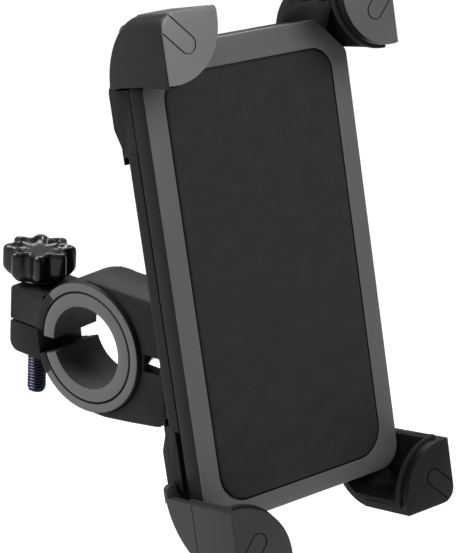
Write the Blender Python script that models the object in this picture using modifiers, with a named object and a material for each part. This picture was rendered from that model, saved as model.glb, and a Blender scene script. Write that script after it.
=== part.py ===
"""Phone handlebar mount: a tilting phone head with four linked corner claws, on a ball stud and a C-shaped bar clamp.

Run with: blender --background --python part.py
World frame: origin at the centre of the handlebar bore, +X along the bar, -Y towards the phone, +Z up.
The head is modelled square to its own frame and parented to the empty "head_frame".
All sizes are in millimetres and become metres in the helpers.
"""

import math

import bmesh
import bpy
from mathutils import Euler, Matrix, Vector

MM = 0.001
TAU = 2.0 * math.pi
GAP = 0.3

# Handlebar clamp: the bore takes a 25.4 mm bar
BORE_RADIUS = 12.7
SLEEVE_RADIUS = 17.1
SHELL_BORE = SLEEVE_RADIUS + GAP
RING_RADIUS = 20.4
RING_HALF = 9.7
ARM_HALF = 8.1
ARM_TOP = 21.0
ARM_FRONT = -30.0
EAR_BACK = 31.2
EAR_TOP = 11.6
EAR_BOTTOM = -9.8
SLIT_TOP = 0.45
BOLT_Y = 28.3
BOLT_RADIUS = 3.0
BOLT_BOTTOM = -26.0
NUT_ACROSS = 10.0
NUT_HEIGHT = 4.8
KNOB_RADIUS = 11.2
KNOB_LOBES = 8
KNOB_LOW = 12.8
KNOB_HIGH = 22.6

# Ball joint
BALL_CENTRE = Vector((0.0, -46.9, 1.2))
BALL_RADIUS = 8.5
NECK_RADIUS = 3.6
STUD_RADIUS = 2.3
STUD_NUT_ACROSS = 12.0
STUD_NUT_FRONT = -27.2
STUD_NUT_HEIGHT = 5.4
SEAT_INNER = BALL_RADIUS + GAP
SEAT_OUTER = SEAT_INNER + 1.1
SOCKET_RADIUS = SEAT_OUTER + GAP

# Head pose, turned about Z, tilted about X and rolled about Y, and the ball's place in the head
HEAD_YAW = math.radians(-15.0)
HEAD_TILT = math.radians(-15.8)
HEAD_ROLL = math.radians(-2.3)
BALL_Y = 30.0
BALL_Z = -34.9

# Head body, front face at y = 0
HALF_WIDTH = 34.65
HALF_LENGTH = 65.0
FACE_THICK = 2.6
RIM_DEPTH = 7.0
RIM_WALL = 2.2
PAD_HALF = 28.2
PAD_TOP = 57.0
PAD_BOTTOM = -59.3
PAD_FRONT = -0.35
PAD_BACK = 0.8
CHASSIS_LOW = 5.6
CHASSIS_HIGH = 7.0
MIDDLE_HALF = 38.0
SKIRT_END = 54.9
SHELL_FRONT = RIM_DEPTH + GAP
SHELL_INSIDE = 13.4
SHELL_BACK = 15.0
CAP_FRONT = 13.9
CAP_BACK = 17.0
CASE_SCREW_X = 28.5
CASE_SCREW_Z = 20.0

# Claws: the corner cup, its rounding and its lip
CLAW_X = 38.6
CLAW_Z = 74.2
CLAW_WALL = 2.0
CLAW_FRONT = -17.8
CLAW_BACK = 13.6
LIP_THICK = 3.0
LIP_CENTRE = (36.0, 71.0)
LIP_RADIUS = 15.2
CLAW_CORNER = 4.5
BACK_ROUND = 16.0
SIDE_ROUND = {1: 6.0, -1: 3.0}  # top and bottom claws
TONGUE_IN = 7.5
LINER_THICK = 1.2
LINER_BACK = 5.0
CLAWS = {"tl": (-1, 1), "tr": (1, 1), "bl": (-1, -1), "br": (1, -1)}

# Rack and pinion that links the claws; they slide on lines through the centre of the head
SLIDE_X = 0.452
SLIDE_Z = math.sqrt(1.0 - SLIDE_X**2)
GEAR_TEETH = 14
PITCH = math.pi
GEAR_RADIUS = GEAR_TEETH * PITCH / TAU
ADDENDUM = 0.85
DEDENDUM = 1.25
BACKLASH = 0.3
PRESSURE = math.radians(20.0)
LEVEL_A = (7.5, 9.2)
LEVEL_B = (9.5, 11.2)
RACK_TAIL = -27.0
RACK_HEAD = 5.0
RACK_EDGE = 11.5
RATCHET = (11.5, 13.0)
RATCHET_RADIUS = 8.3
RATCHET_TEETH = 18
SLIDER = (11.6, 13.0)
CLAW_SCREW = (56.0, -2.0)

BLACK = (0.012, 0.012, 0.013)
CHARCOAL = (0.028, 0.028, 0.029)
GREY = (0.11, 0.11, 0.112)
STEEL = (0.55, 0.55, 0.56)
FINISHES = {
    "grey_plastic": (GREY, 0.5, 0.0),
    "dark_plastic": (CHARCOAL, 0.5, 0.0),
    "gloss_knob": (BLACK, 0.2, 0.0),
    "rubber": ((0.022, 0.022, 0.022), 0.85, 0.0),
    "zinc": (STEEL, 0.3, 1.0),
    "black_steel": ((0.03, 0.03, 0.045), 0.35, 1.0),
    "nylon": ((0.5, 0.49, 0.45), 0.5, 0.0),
}


def clear_scene():
    """Remove every object, so that the script can run in any file."""
    for item in list(bpy.data.objects):
        bpy.data.objects.remove(item, do_unlink=True)


def make_collection(name):
    """Return a new collection linked to the scene."""
    group = bpy.data.collections.new(name)
    bpy.context.scene.collection.children.link(group)
    return group


def make_material(name):
    """Return the Principled material of a finish."""
    material = bpy.data.materials.get(name) or bpy.data.materials.new(name)
    material.use_nodes = True
    colour, roughness, metallic = FINISHES[name]
    shader = material.node_tree.nodes["Principled BSDF"]
    shader.inputs["Base Color"].default_value = (*colour, 1.0)
    shader.inputs["Roughness"].default_value = roughness
    shader.inputs["Metallic"].default_value = metallic
    return material


class Builder:
    """Makes objects in one frame, in the part's collection or the cutters' collection."""

    def __init__(self, parts, cutters, parent=None):
        self.parts = parts
        self.cutters = cutters
        self.parent = parent

    def place(self, name, mesh, finish, origin=(0.0, 0.0, 0.0)):
        """Make an object of the mesh with its origin at the given point."""
        body = bpy.data.objects.new(name, mesh)
        if origin != (0.0, 0.0, 0.0):
            mesh.transform(Matrix.Translation(-Vector(origin) * MM))
        body.location = Vector(origin) * MM
        body.parent = self.parent
        if finish is None:
            self.cutters.objects.link(body)
            body.hide_render = True
            body.display_type = "WIRE"
        else:
            self.parts.objects.link(body)
            body.data.materials.clear()
            body.data.materials.append(make_material(finish))
        return body

    def join(self, body, tool, operation):
        """Add a live exact Boolean of one object with a tool object."""
        step = body.modifiers.new(operation.title(), "BOOLEAN")
        step.solver = "EXACT"
        step.operation = operation
        step.object = tool

    def cut(self, body, *tools):
        """Subtract tools from a body."""
        for tool in tools:
            self.join(body, tool, "DIFFERENCE")

    def fuse(self, body, *tools):
        """Add tools to a body."""
        for tool in tools:
            self.join(body, tool, "UNION")

    def limit(self, body, *tools):
        """Keep only what a body shares with each tool."""
        for tool in tools:
            self.join(body, tool, "INTERSECT")


# ---------------------------------------------------------------- shapes


def rounded(corners, step=0.35):
    """Turn (u, v, radius) corners into outline points, with each corner's arc in even steps."""
    points = []
    count = len(corners)
    for index, (u, v, radius) in enumerate(corners):
        here = Vector((u, v))
        if radius <= 0.0:
            points.append(here)
            continue
        before = (Vector(corners[index - 1][:2]) - here).normalized()
        after = (Vector(corners[(index + 1) % count][:2]) - here).normalized()
        half = before.angle(after) / 2.0
        centre = here + (before + after).normalized() * radius / math.sin(half)
        start = here + before * radius / math.tan(half) - centre
        end = here + after * radius / math.tan(half) - centre
        turn = start.angle_signed(end)
        steps = max(2, round(abs(turn) / step))
        points += [centre + Matrix.Rotation(-turn * i / steps, 2) @ start for i in range(steps + 1)]
    return points


def arc(centre, radius, start, end, steps):
    """Return points on an arc, with its angles in degrees."""
    angles = [math.radians(start + (end - start) * i / steps) for i in range(steps + 1)]
    return [Vector((centre[0] + radius * math.cos(a), centre[1] + radius * math.sin(a))) for a in angles]


PLANES = {
    "XY": Matrix.Identity(4),
    "XZ": Matrix.Rotation(math.radians(90.0), 4, "X"),
    "YZ": Matrix(((0, 0, 1, 0), (1, 0, 0, 0), (0, 1, 0, 0), (0, 0, 0, 1))),
}


def prism(outline, low, high, plane, holes=()):
    """Fill a flat outline and extrude it from low to high across its plane."""
    flat = bpy.data.curves.new("outline", "CURVE")
    flat.dimensions = "2D"
    flat.fill_mode = "BOTH"
    flat.extrude = (high - low) / 2.0 * MM
    for loop in (outline, *holes):
        line = flat.splines.new("POLY")
        line.points.add(len(loop) - 1)
        for point, (u, v) in zip(line.points, loop):
            point.co = (u * MM, v * MM, 0.0, 1.0)
        line.use_cyclic_u = True
    carrier = bpy.data.objects.new("outline", flat)
    mesh = bpy.data.meshes.new_from_object(carrier)
    bpy.data.objects.remove(carrier)
    weld(mesh)
    middle = (low + high) / 2.0 * MM
    across = -middle if plane == "XZ" else middle
    mesh.transform(PLANES[plane] @ Matrix.Translation((0.0, 0.0, across)))
    return mesh


def weld(mesh):
    """Merge the double points that a filled curve leaves, and point the faces outwards."""
    work = bmesh.new()
    work.from_mesh(mesh)
    bmesh.ops.remove_doubles(work, verts=work.verts, dist=1e-7)
    bmesh.ops.recalc_face_normals(work, faces=work.faces)
    work.to_mesh(mesh)
    work.free()


def block(x, y, z, bevel=0.0):
    """Return a box mesh between (low, high) pairs, with its edges bevelled if asked."""
    low = Vector((x[0], y[0], z[0])) * MM
    high = Vector((x[1], y[1], z[1])) * MM
    work = bmesh.new()
    spread = Matrix.Diagonal((*(high - low), 1.0))
    bmesh.ops.create_cube(work, size=1.0, matrix=Matrix.Translation((low + high) / 2.0) @ spread)
    if bevel:
        bmesh.ops.bevel(work, geom=work.edges[:], offset=bevel * MM, segments=2, affect="EDGES", profile=0.5)
    mesh = bpy.data.meshes.new("block")
    work.to_mesh(mesh)
    work.free()
    return mesh


def turned(profile, centre, axis, sides=24):
    """Spin an (radius, height) outline round an axis through centre; heights run along the axis."""
    work = bmesh.new()
    points = [work.verts.new((radius * MM, 0.0, height * MM)) for radius, height in profile]
    edges = [work.edges.new((a, b)) for a, b in zip(points, points[1:])]
    closed = min(radius for radius, _ in profile) > 0.0
    if closed:
        edges.append(work.edges.new((points[-1], points[0])))
    bmesh.ops.spin(
        work, geom=points + edges, cent=(0, 0, 0), axis=(0, 0, 1), angle=TAU, steps=sides, use_merge=True
    )
    bmesh.ops.remove_doubles(work, verts=work.verts, dist=1e-7)
    bmesh.ops.recalc_face_normals(work, faces=work.faces)
    mesh = bpy.data.meshes.new("turned")
    work.to_mesh(mesh)
    work.free()
    turn = Vector((0.0, 0.0, 1.0)).rotation_difference(Vector(axis)).to_matrix().to_4x4()
    mesh.transform(Matrix.Translation(Vector(centre) * MM) @ turn)
    return mesh


def rod(radius, low, high, centre, axis, sides=20):
    """Return a solid cylinder from low to high along an axis through centre."""
    turn = Vector((0.0, 0.0, 1.0)).rotation_difference(Vector(axis)).to_matrix().to_4x4()
    middle = Matrix.Translation((0.0, 0.0, (low + high) / 2.0 * MM))
    work = bmesh.new()
    bmesh.ops.create_cone(
        work,
        cap_ends=True,
        segments=sides,
        radius1=radius * MM,
        radius2=radius * MM,
        depth=(high - low) * MM,
        matrix=Matrix.Translation(Vector(centre) * MM) @ turn @ middle,
    )
    mesh = bpy.data.meshes.new("rod")
    work.to_mesh(mesh)
    work.free()
    return mesh


def hexagon(across, start=0.0):
    """Return a hexagon's corners round the origin."""
    return [
        Vector((math.cos(start + TAU * i / 6), math.sin(start + TAU * i / 6))) * across / math.sqrt(3.0)
        for i in range(6)
    ]


def shifted(points, du, dv):
    """Move outline points."""
    return [Vector((p[0] + du, p[1] + dv)) for p in points]


def circle(radius, centre=(0.0, 0.0), steps=24):
    """Return a circle's points."""
    return arc(centre, radius, 0.0, 360.0 * (steps - 1) / steps, steps - 1)


def coil(name, radius, wire, length, turns, per_turn, centre, axis, finish, maker):
    """Make a spring as a bevelled poly curve that starts at centre and runs along the axis."""
    count = int(turns * per_turn) + 1
    line = bpy.data.curves.new(name, "CURVE")
    line.dimensions = "3D"
    line.bevel_depth = wire * MM
    line.bevel_resolution = 2
    line.use_fill_caps = True
    spline = line.splines.new("POLY")
    spline.points.add(count - 1)
    turn = Vector((0.0, 0.0, 1.0)).rotation_difference(Vector(axis)).to_matrix()
    for index, point in enumerate(spline.points):
        angle = TAU * index / per_turn
        local = Vector((radius * math.cos(angle), radius * math.sin(angle), length * index / (count - 1)))
        point.co = (*((turn @ local + Vector(centre)) * MM), 1.0)
    body = bpy.data.objects.new(name, line)
    body.parent = maker.parent
    line.materials.append(make_material(finish))
    maker.parts.objects.link(body)
    return body


# ---------------------------------------------------------------- handlebar clamp


def clamp_body(maker):
    """The one-piece C clamp: ring with two ears split at the back, and the narrower arm towards the phone."""
    top = math.degrees(math.asin(EAR_TOP / RING_RADIUS))
    bottom = 360.0 + math.degrees(math.asin(EAR_BOTTOM / RING_RADIUS))
    low_end = -22.0
    high_end = math.degrees(math.asin(SLIT_TOP / SHELL_BORE))
    upper_ear = rounded([(EAR_BACK, SLIT_TOP, 0.6), (EAR_BACK, EAR_TOP, 1.4), (20.0, EAR_TOP, 0.0)])[:-1]
    lower_ear = rounded([(20.0, EAR_BOTTOM, 0.0), (EAR_BACK, EAR_BOTTOM, 3.5), (EAR_BACK, -0.05, 0.6)])[1:]
    outline = (
        upper_ear
        + arc((0.0, 0.0), RING_RADIUS, top, bottom, 44)
        + lower_ear
        + [Vector((19.6, -0.05)), Vector((18.4, -7.4))]
        + arc((0.0, 0.0), SHELL_BORE, low_end, high_end - 360.0, 48)
    )
    body = maker.place("clamp_body", prism(outline, -RING_HALF, RING_HALF, "YZ"), "dark_plastic")
    arm = [
        (2.0, -19.0, 0.0),
        (2.0, ARM_TOP, 0.0),
        (-27.0, ARM_TOP, 2.5),
        (ARM_FRONT, 15.0, 4.0),
        (ARM_FRONT, -17.0, 3.0),
        (-17.6, -19.2, 0.0),
        (-8.6, -20.6, 0.0),
        (2.0, -21.0, 0.0),
    ]
    arm_outline = rounded(arm)[1:] + arc((0.0, 0.0), 19.0, 276.0, 84.0, 24)
    maker.fuse(body, maker.place("arm_core", prism(arm_outline, -ARM_HALF, ARM_HALF, "YZ"), None))
    hole = maker.place("bolt_cut", rod(BOLT_RADIUS + 0.4, -30.0, 30.0, (0.0, BOLT_Y, 0.0), (0, 0, 1)), None)
    pocket = prism(
        shifted(hexagon(NUT_ACROSS + 2 * GAP), 0.0, BOLT_Y), EAR_BOTTOM - 1.0, EAR_BOTTOM + NUT_HEIGHT + 0.5, "XY"
    )
    nut_cut = maker.place("nut_pocket_cut", pocket, None)
    ball = (0.0, 0.0, BALL_CENTRE.z)
    stud = maker.place("stud_cut", rod(STUD_RADIUS + 0.4, -36.0, -21.5, ball, (0, 1, 0)), None)
    depth = (STUD_NUT_FRONT - GAP, STUD_NUT_FRONT + STUD_NUT_HEIGHT + GAP)
    side = STUD_NUT_ACROSS / math.sqrt(3.0) + 0.25
    pocket = block((-side, side), depth, (-26.0, BALL_CENTRE.z + STUD_NUT_ACROSS / 2.0 + 0.25))
    pocket_cut = maker.place("stud_nut_cut", pocket, None)
    window_cut = maker.place("stud_window_cut", block((-12.0, 12.0), depth, (-1.2, 4.4)), None)
    maker.cut(body, hole, nut_cut, stud, pocket_cut, window_cut)


def bar_sleeve(maker):
    """The C-shaped rubber sleeve that grips the bar, open behind."""
    low = math.radians(-22.5)
    high = math.radians(-3.5)
    steps = 56
    span = TAU - (high - low)
    angles = [high + span * i / steps for i in range(steps + 1)]
    outer = [Vector((math.cos(a), math.sin(a))) * SLEEVE_RADIUS for a in angles]
    inner = [Vector((math.cos(a), math.sin(a))) * BORE_RADIUS for a in reversed(angles)]
    maker.place("bar_sleeve", prism(outer + inner, -RING_HALF, RING_HALF, "YZ"), "rubber")


def clamp_bolt(maker):
    """The bolt, its hex head inside the knob, and its washer and captive nut."""
    axis = (0, 0, 1)
    place = (0.0, BOLT_Y, 0.0)
    tip = BOLT_RADIUS - 0.5
    shank = [(0.0, BOLT_BOTTOM), (tip, BOLT_BOTTOM), (BOLT_RADIUS, BOLT_BOTTOM + 0.7), (BOLT_RADIUS, 16.0), (0.0, 16.0)]
    bolt = maker.place("clamp_bolt", turned(shank, place, axis), "black_steel", place)
    head = prism(shifted(hexagon(NUT_ACROSS), 0.0, BOLT_Y), 13.4, 18.2, "XY")
    maker.fuse(bolt, maker.place("bolt_head_core", head, None))
    ring = [(BOLT_RADIUS + 0.35, 11.9), (6.2, 11.9), (6.2, 12.5), (BOLT_RADIUS + 0.35, 12.5)]
    maker.place("knob_washer", turned(ring, place, axis), "zinc")
    low = EAR_BOTTOM + 0.2
    nut = prism(
        shifted(hexagon(NUT_ACROSS), 0.0, BOLT_Y),
        low,
        low + NUT_HEIGHT,
        "XY",
        [circle(BOLT_RADIUS + GAP, (0.0, BOLT_Y))],
    )
    maker.place("clamp_nut", nut, "zinc")


def star_knob(maker):
    """The lobed knob: a lobed outline limited by a turned envelope with a dished top."""
    place = (0.0, BOLT_Y, 0.0)
    outline = []
    for index in range(KNOB_LOBES * 8):
        angle = TAU * index / (KNOB_LOBES * 8)
        swell = 0.5 + 0.5 * math.cos(KNOB_LOBES * angle + 0.5)
        radius = KNOB_RADIUS - 2.9 * (1.0 - swell**1.1)
        outline.append(Vector((radius * math.cos(angle), radius * math.sin(angle) + BOLT_Y)))
    knob = maker.place("star_knob", prism(outline, KNOB_LOW, KNOB_HIGH, "XY"), "gloss_knob", place)
    envelope = [
        (0.0, KNOB_LOW - 1.0),
        (8.3, KNOB_LOW - 1.0),
        (9.1, KNOB_LOW),
        (KNOB_RADIUS + 0.2, KNOB_LOW + 2.2),
        (KNOB_RADIUS + 0.2, KNOB_HIGH - 1.1),
        (KNOB_RADIUS - 0.9, KNOB_HIGH - 0.05),
        (8.9, KNOB_HIGH - 0.05),
        (7.4, KNOB_HIGH - 1.2),
        (0.0, KNOB_HIGH - 1.6),
    ]
    maker.limit(knob, maker.place("knob_envelope", turned(envelope, place, (0, 0, 1), 33), None))
    pocket = prism(shifted(hexagon(NUT_ACROSS + 2 * GAP), 0.0, BOLT_Y), KNOB_LOW - 1.0, 18.6, "XY")
    maker.cut(knob, maker.place("knob_pocket_cut", pocket, None))


# ---------------------------------------------------------------- ball joint


def ball_stud(maker):
    """The ball with its neck, collar and threaded shank, and the nut in the arm's side pocket."""
    neck_turn = math.asin(NECK_RADIUS / BALL_RADIUS)
    steps = 9
    profile = []
    for index in range(steps + 1):
        angle = math.pi - (math.pi - neck_turn) * index / steps
        profile.append((BALL_RADIUS * math.sin(angle), BALL_RADIUS * math.cos(angle)))
    profile[0] = (0.0, -BALL_RADIUS)
    collar = ARM_FRONT - GAP - BALL_CENTRE.y
    profile += [
        (NECK_RADIUS, collar - 4.5),
        (6.4, collar - 2.4),
        (6.4, collar),
        (STUD_RADIUS, collar),
        (STUD_RADIUS, -22.0 - BALL_CENTRE.y),
        (0.0, -22.0 - BALL_CENTRE.y),
    ]
    maker.place("ball_stud", turned(profile, BALL_CENTRE, (0, 1, 0)), "zinc")
    outline = shifted(hexagon(STUD_NUT_ACROSS), 0.0, BALL_CENTRE.z)
    hole = [circle(STUD_RADIUS + GAP, (0.0, BALL_CENTRE.z))]
    end = STUD_NUT_FRONT + STUD_NUT_HEIGHT
    maker.place("stud_nut", prism(outline, STUD_NUT_FRONT, end, "XZ", hole), "zinc")


def spherical_ring(low, high, steps):
    """Return the closed profile of a seat shell between two angles from the front pole."""
    angles = [math.radians(low + (high - low) * i / steps) for i in range(steps + 1)]
    outer = [(SEAT_OUTER * math.sin(a), -SEAT_OUTER * math.cos(a)) for a in angles]
    inner = [(SEAT_INNER * math.sin(a), -SEAT_INNER * math.cos(a)) for a in reversed(angles)]
    return outer + inner


def ball_joint(maker):
    """The socket with its flange, the two seats and the ring nut, on the back of the head."""
    centre = (0.0, BALL_Y, BALL_Z)
    axis = (0, 1, 0)
    maker.place("front_ball_seat", turned(spherical_ring(12, 41, 4), centre, axis), "nylon", centre)
    maker.place("rear_ball_seat", turned(spherical_ring(84, 103, 2), centre, axis), "nylon", centre)
    low = CAP_BACK + GAP - BALL_Y
    cup = [(0.0, -SOCKET_RADIUS)]
    for index in range(1, 9):
        angle = math.radians(96.0 * index / 8)
        cup.append((SOCKET_RADIUS * math.sin(angle), -SOCKET_RADIUS * math.cos(angle)))
    rim = cup[-1][1]
    profile = cup + [(12.0, rim), (12.0, low + 2.4), (17.8, low + 2.4), (17.8, low), (0.0, low)]
    socket = maker.place("ball_socket", turned(profile, centre, axis, 32), "dark_plastic")
    screws = []
    for index in range(3):
        turn = math.radians(90.0 + 120.0 * index)
        spot = (14.9 * math.cos(turn), BALL_Y, BALL_Z + 14.9 * math.sin(turn))
        screws.append(maker.place(f"socket_hole_{index + 1}", rod(1.5, low - 1, low + 3, spot, axis, 16), None))
        top = low + 2.4 + GAP
        pin = [(0.0, 14.0 - BALL_Y), (1.2, 14.0 - BALL_Y), (1.2, top), (2.2, top), (2.2, top + 1.3), (0.0, top + 1.3)]
        maker.place(f"socket_screw_{index + 1}", turned(pin, spot, axis, 12), "zinc")
    maker.cut(socket, *screws)
    ring_nut(maker, centre, axis, rim)


def ring_nut(maker, centre, axis, rim):
    """The grip ring that closes the socket over the ball."""
    inside = 12.0 + GAP
    lip_end = 67.0
    steps = 3
    lip = []
    for index in range(steps + 1):
        angle = math.radians(98.5 + (180.0 - lip_end - 98.5) * index / steps)
        lip.append((SOCKET_RADIUS * math.sin(angle), -SOCKET_RADIUS * math.cos(angle)))
    profile = [(inside, -7.0), (inside, rim + GAP), (lip[0][0], rim + GAP), *lip]
    profile += [(lip[-1][0] + 0.6, lip[-1][1] + 0.5), (13.6, lip[-1][1] + 0.5), (16.0, lip[-1][1] - 1.0), (16.0, -7.0)]
    nut = maker.place("ring_nut", turned(profile, centre, axis, 40), "dark_plastic", centre)
    for index in range(10):
        turn = TAU * (index + 0.5) / 10
        spot = (16.6 * math.cos(turn), BALL_Y, BALL_Z + 16.6 * math.sin(turn))
        maker.cut(nut, maker.place(f"grip_cut_{index + 1}", rod(1.7, -8.0, 6.0, spot, axis, 10), None))


# ---------------------------------------------------------------- head body


def frame_outline(inset=0.0):
    """Return the head's outline with its cut top corners and round bottom corners."""
    x = HALF_WIDTH - inset
    z = HALF_LENGTH - inset
    cut = 9.5 - inset * 0.4
    return rounded(
        [
            (x, z - cut, 3.0),
            (x, -z, 7.0 - inset),
            (-x, -z, 7.0 - inset),
            (-x, z - cut, 3.0),
            (-x + cut, z, 3.0),
            (x - cut, z, 3.0),
        ]
    )


def pad_outline(grow=0.0):
    """Return the outline of the phone pad."""
    x = PAD_HALF + grow
    return rounded(
        [
            (x, PAD_TOP + grow, 6.0 + grow),
            (x, PAD_BOTTOM - grow, 8.0 + grow),
            (-x, PAD_BOTTOM - grow, 8.0 + grow),
            (-x, PAD_TOP + grow, 6.0 + grow),
        ],
        0.2,
    )


def corners(x, z):
    """Return the four points at plus and minus x and z."""
    return [(sx * x, sz * z) for sx, sz in CLAWS.values()]


def front_frame(maker):
    """The front shell: a face with the pad's recess, a rim and four screw posts."""
    body = maker.place("front_frame", prism(frame_outline(), 0.0, RIM_DEPTH, "XZ"), "grey_plastic")
    edge = body.modifiers.new("Edge", "BEVEL")
    edge.width = 0.6 * MM
    edge.segments = 2
    edge.limit_method = "ANGLE"
    edge.angle_limit = math.radians(60.0)
    inside = maker.place("frame_hollow", prism(frame_outline(RIM_WALL), FACE_THICK, 9.0, "XZ"), None)
    recess = maker.place("pad_recess", prism(pad_outline(GAP), -2.0, PAD_BACK + GAP, "XZ"), None)
    maker.cut(body, inside, recess)
    for index, (x, z) in enumerate(corners(CASE_SCREW_X, CASE_SCREW_Z)):
        post = maker.place(f"frame_post_{index + 1}", rod(3.0, FACE_THICK - 0.6, 7.0, (x, 0, z), (0, 1, 0)), None)
        maker.fuse(body, post)
        maker.cut(body, maker.place(f"frame_post_cut_{index + 1}", rod(1.7, 3.2, 9.0, (x, 0, z), (0, 1, 0), 16), None))


def front_pad(maker):
    """The phone pad, a little proud of the frame."""
    maker.place("front_pad", prism(pad_outline(), PAD_FRONT, PAD_BACK, "XZ"), "rubber")


def chassis_plate(maker):
    """The steel plate that backs the front shell and carries the gear's pivot."""
    holes = [circle(3.4, spot, 20) for spot in corners(CASE_SCREW_X, CASE_SCREW_Z)] + [circle(2.5)]
    mesh = prism(frame_outline(RIM_WALL + GAP), CHASSIS_LOW, CHASSIS_HIGH, "XZ", holes)
    maker.place("chassis_plate", mesh, "zinc")
    profile = [(0.0, 4.2), (4.0, 4.2), (4.0, 5.3), (2.2, 5.3), (2.2, 13.1), (0.0, 13.1)]
    maker.place("gear_pivot", turned(profile, (0, 0, 0), (0, 1, 0)), "zinc")


def back_shell(maker):
    """The back shell: a channel behind the mechanism, two end caps over the claw slides, and a ball pedestal."""
    side = SHELL_BACK - 3.0
    channel = rounded(
        [
            (HALF_WIDTH, SHELL_FRONT, 0.0),
            (HALF_WIDTH, side, 2.0),
            (HALF_WIDTH - 3.8, SHELL_BACK, 2.5),
            (-HALF_WIDTH + 3.8, SHELL_BACK, 2.5),
            (-HALF_WIDTH, side, 2.0),
            (-HALF_WIDTH, SHELL_FRONT, 0.0),
        ]
    )
    middle = prism(channel, -MIDDLE_HALF, MIDDLE_HALF, "XY")
    body = maker.place("back_shell", middle, "dark_plastic")
    for name, sign in (("top", 1), ("bottom", -1)):
        profile = rounded(
            [
                (CAP_FRONT, 35.0, 0.0),
                (SHELL_BACK - 0.4, 35.0, 0.0),
                (SHELL_BACK - 0.4, 39.6, 1.0),
                (CAP_BACK, 44.4, 3.0),
                (CAP_BACK, HALF_LENGTH - 0.3, 1.5),
                (CAP_FRONT, HALF_LENGTH - 0.3, 0.0),
            ]
        )
        flipped = [Vector((u, v * sign)) for u, v in profile]
        cap = maker.place(f"{name}_cap_core", prism(flipped, -HALF_WIDTH, HALF_WIDTH, "YZ"), None)
        trim = maker.place(f"{name}_cap_outline", prism(frame_outline(0.25), 12.0, 20.0, "XZ"), None)
        maker.limit(cap, trim)
        maker.fuse(body, cap)
        z = sorted((sign * (HALF_LENGTH - 3.2), sign * (HALF_LENGTH - 0.3)))
        post = maker.place(f"{name}_post_core", block((-12.0, 12.0), (SHELL_FRONT, CAP_FRONT + 0.6), z), None)
        maker.fuse(body, post)
    pedestal = rod(18.2, SHELL_BACK - 1.0, CAP_BACK, (0.0, 0.0, BALL_Z), (0, 1, 0), 32)
    maker.fuse(body, maker.place("pedestal_core", pedestal, None))
    inner_x = HALF_WIDTH - RIM_WALL
    hollow = block((-inner_x, inner_x), (SHELL_FRONT - 3.0, SHELL_INSIDE), (-MIDDLE_HALF - 1.0, MIDDLE_HALF + 1.0))
    maker.cut(body, maker.place("channel_cut", hollow, None))
    for tag, (sx, sz) in CLAWS.items():
        x = sorted((sx * (inner_x - 0.15), sx * (HALF_WIDTH - 0.15)))
        z = sorted((sz * (MIDDLE_HALF - 1.0), sz * SKIRT_END))
        low = LEVEL_A[1] + GAP if sx * sz > 0 else SHELL_FRONT + 0.05
        maker.fuse(body, maker.place(f"skirt_{tag}", block(x, (low, CAP_FRONT + 0.4), z), None))
    for index, (x, z) in enumerate(corners(CASE_SCREW_X, CASE_SCREW_Z)):
        post = rod(3.7, SHELL_FRONT + 0.2, SHELL_INSIDE + 0.6, (x, 0, z), (0, 1, 0))
        maker.fuse(body, maker.place(f"shell_post_{index + 1}", post, None))
        well = [(0.0, 0.0), (1.7, 0.0), (1.7, 13.0), (3.1, 13.0), (3.1, 20.0), (0.0, 20.0)]
        maker.cut(body, maker.place(f"shell_post_cut_{index + 1}", turned(well, (x, 0, z), (0, 1, 0), 14), None))
        pin = [(0.0, 3.6), (1.4, 3.6), (1.4, 13.3), (2.8, 13.3), (2.8, 14.6), (0.0, 14.6)]
        maker.place(f"case_screw_{index + 1}", turned(pin, (x, 0, z), (0, 1, 0), 14), "zinc")
    for index in range(3):
        turn = math.radians(90.0 + 120.0 * index)
        spot = (14.9 * math.cos(turn), 0.0, BALL_Z + 14.9 * math.sin(turn))
        maker.cut(body, maker.place(f"socket_pilot_{index + 1}", rod(1.5, 13.7, 20.0, spot, (0, 1, 0), 16), None))
    port = block((30.0, 40.0), (8.0, 11.6), (-6.9, 6.9))
    maker.cut(body, maker.place("button_port_cut", port, None))


# ---------------------------------------------------------------- claws and their mechanism


def lip_outline(sx, sz, grow=0.0, inset=0.0):
    """Return the claw's quarter-round outline in the plane of the phone."""
    x = CLAW_X - inset
    z = CLAW_Z - inset
    radius = LIP_RADIUS + grow
    start = math.degrees(math.atan2(-math.sqrt(radius**2 - (x - LIP_CENTRE[0]) ** 2), x - LIP_CENTRE[0]))
    end = math.degrees(math.atan2(z - LIP_CENTRE[1], -math.sqrt(radius**2 - (z - LIP_CENTRE[1]) ** 2)))
    sweep = arc(LIP_CENTRE, radius, start, end - 360.0, 14)
    round_off = arc((x - CLAW_CORNER, z - CLAW_CORNER), CLAW_CORNER, 90.0, 0.0, 5)
    return [Vector((sx * p[0], sz * p[1])) for p in sweep + round_off]


def cup_limits(maker, tag, sx, sz, inset, front):
    """Return two tools whose shared space is the claw's cup, rounded along its back edges."""
    deep = CLAW_BACK - inset
    far = CLAW_Z - inset
    wide = CLAW_X - inset
    long_profile = rounded(
        [(front, 20.0, 0.0), (front, far, 0.0), (deep, far, BACK_ROUND - inset), (deep, 20.0, 0.0)], 0.25
    )
    long_profile = [Vector((u, sz * v)) for u, v in long_profile]
    wide_profile = rounded(
        [(5.0, front, 0.0), (wide, front, 0.0), (wide, deep, max(SIDE_ROUND[sz] - inset, 0.6)), (5.0, deep, 0.0)], 0.3
    )
    wide_profile = [Vector((sx * u, v)) for u, v in wide_profile]
    low, high = sorted((sx * 2.0, sx * (wide + 3.0)))
    along = maker.place(f"{tag}_long", prism(long_profile, low, high, "YZ"), None)
    low, high = sorted((sz * 18.0, sz * (far + 3.0)))
    across = maker.place(f"{tag}_wide", prism(wide_profile, low, high, "XY"), None)
    return along, across


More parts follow.
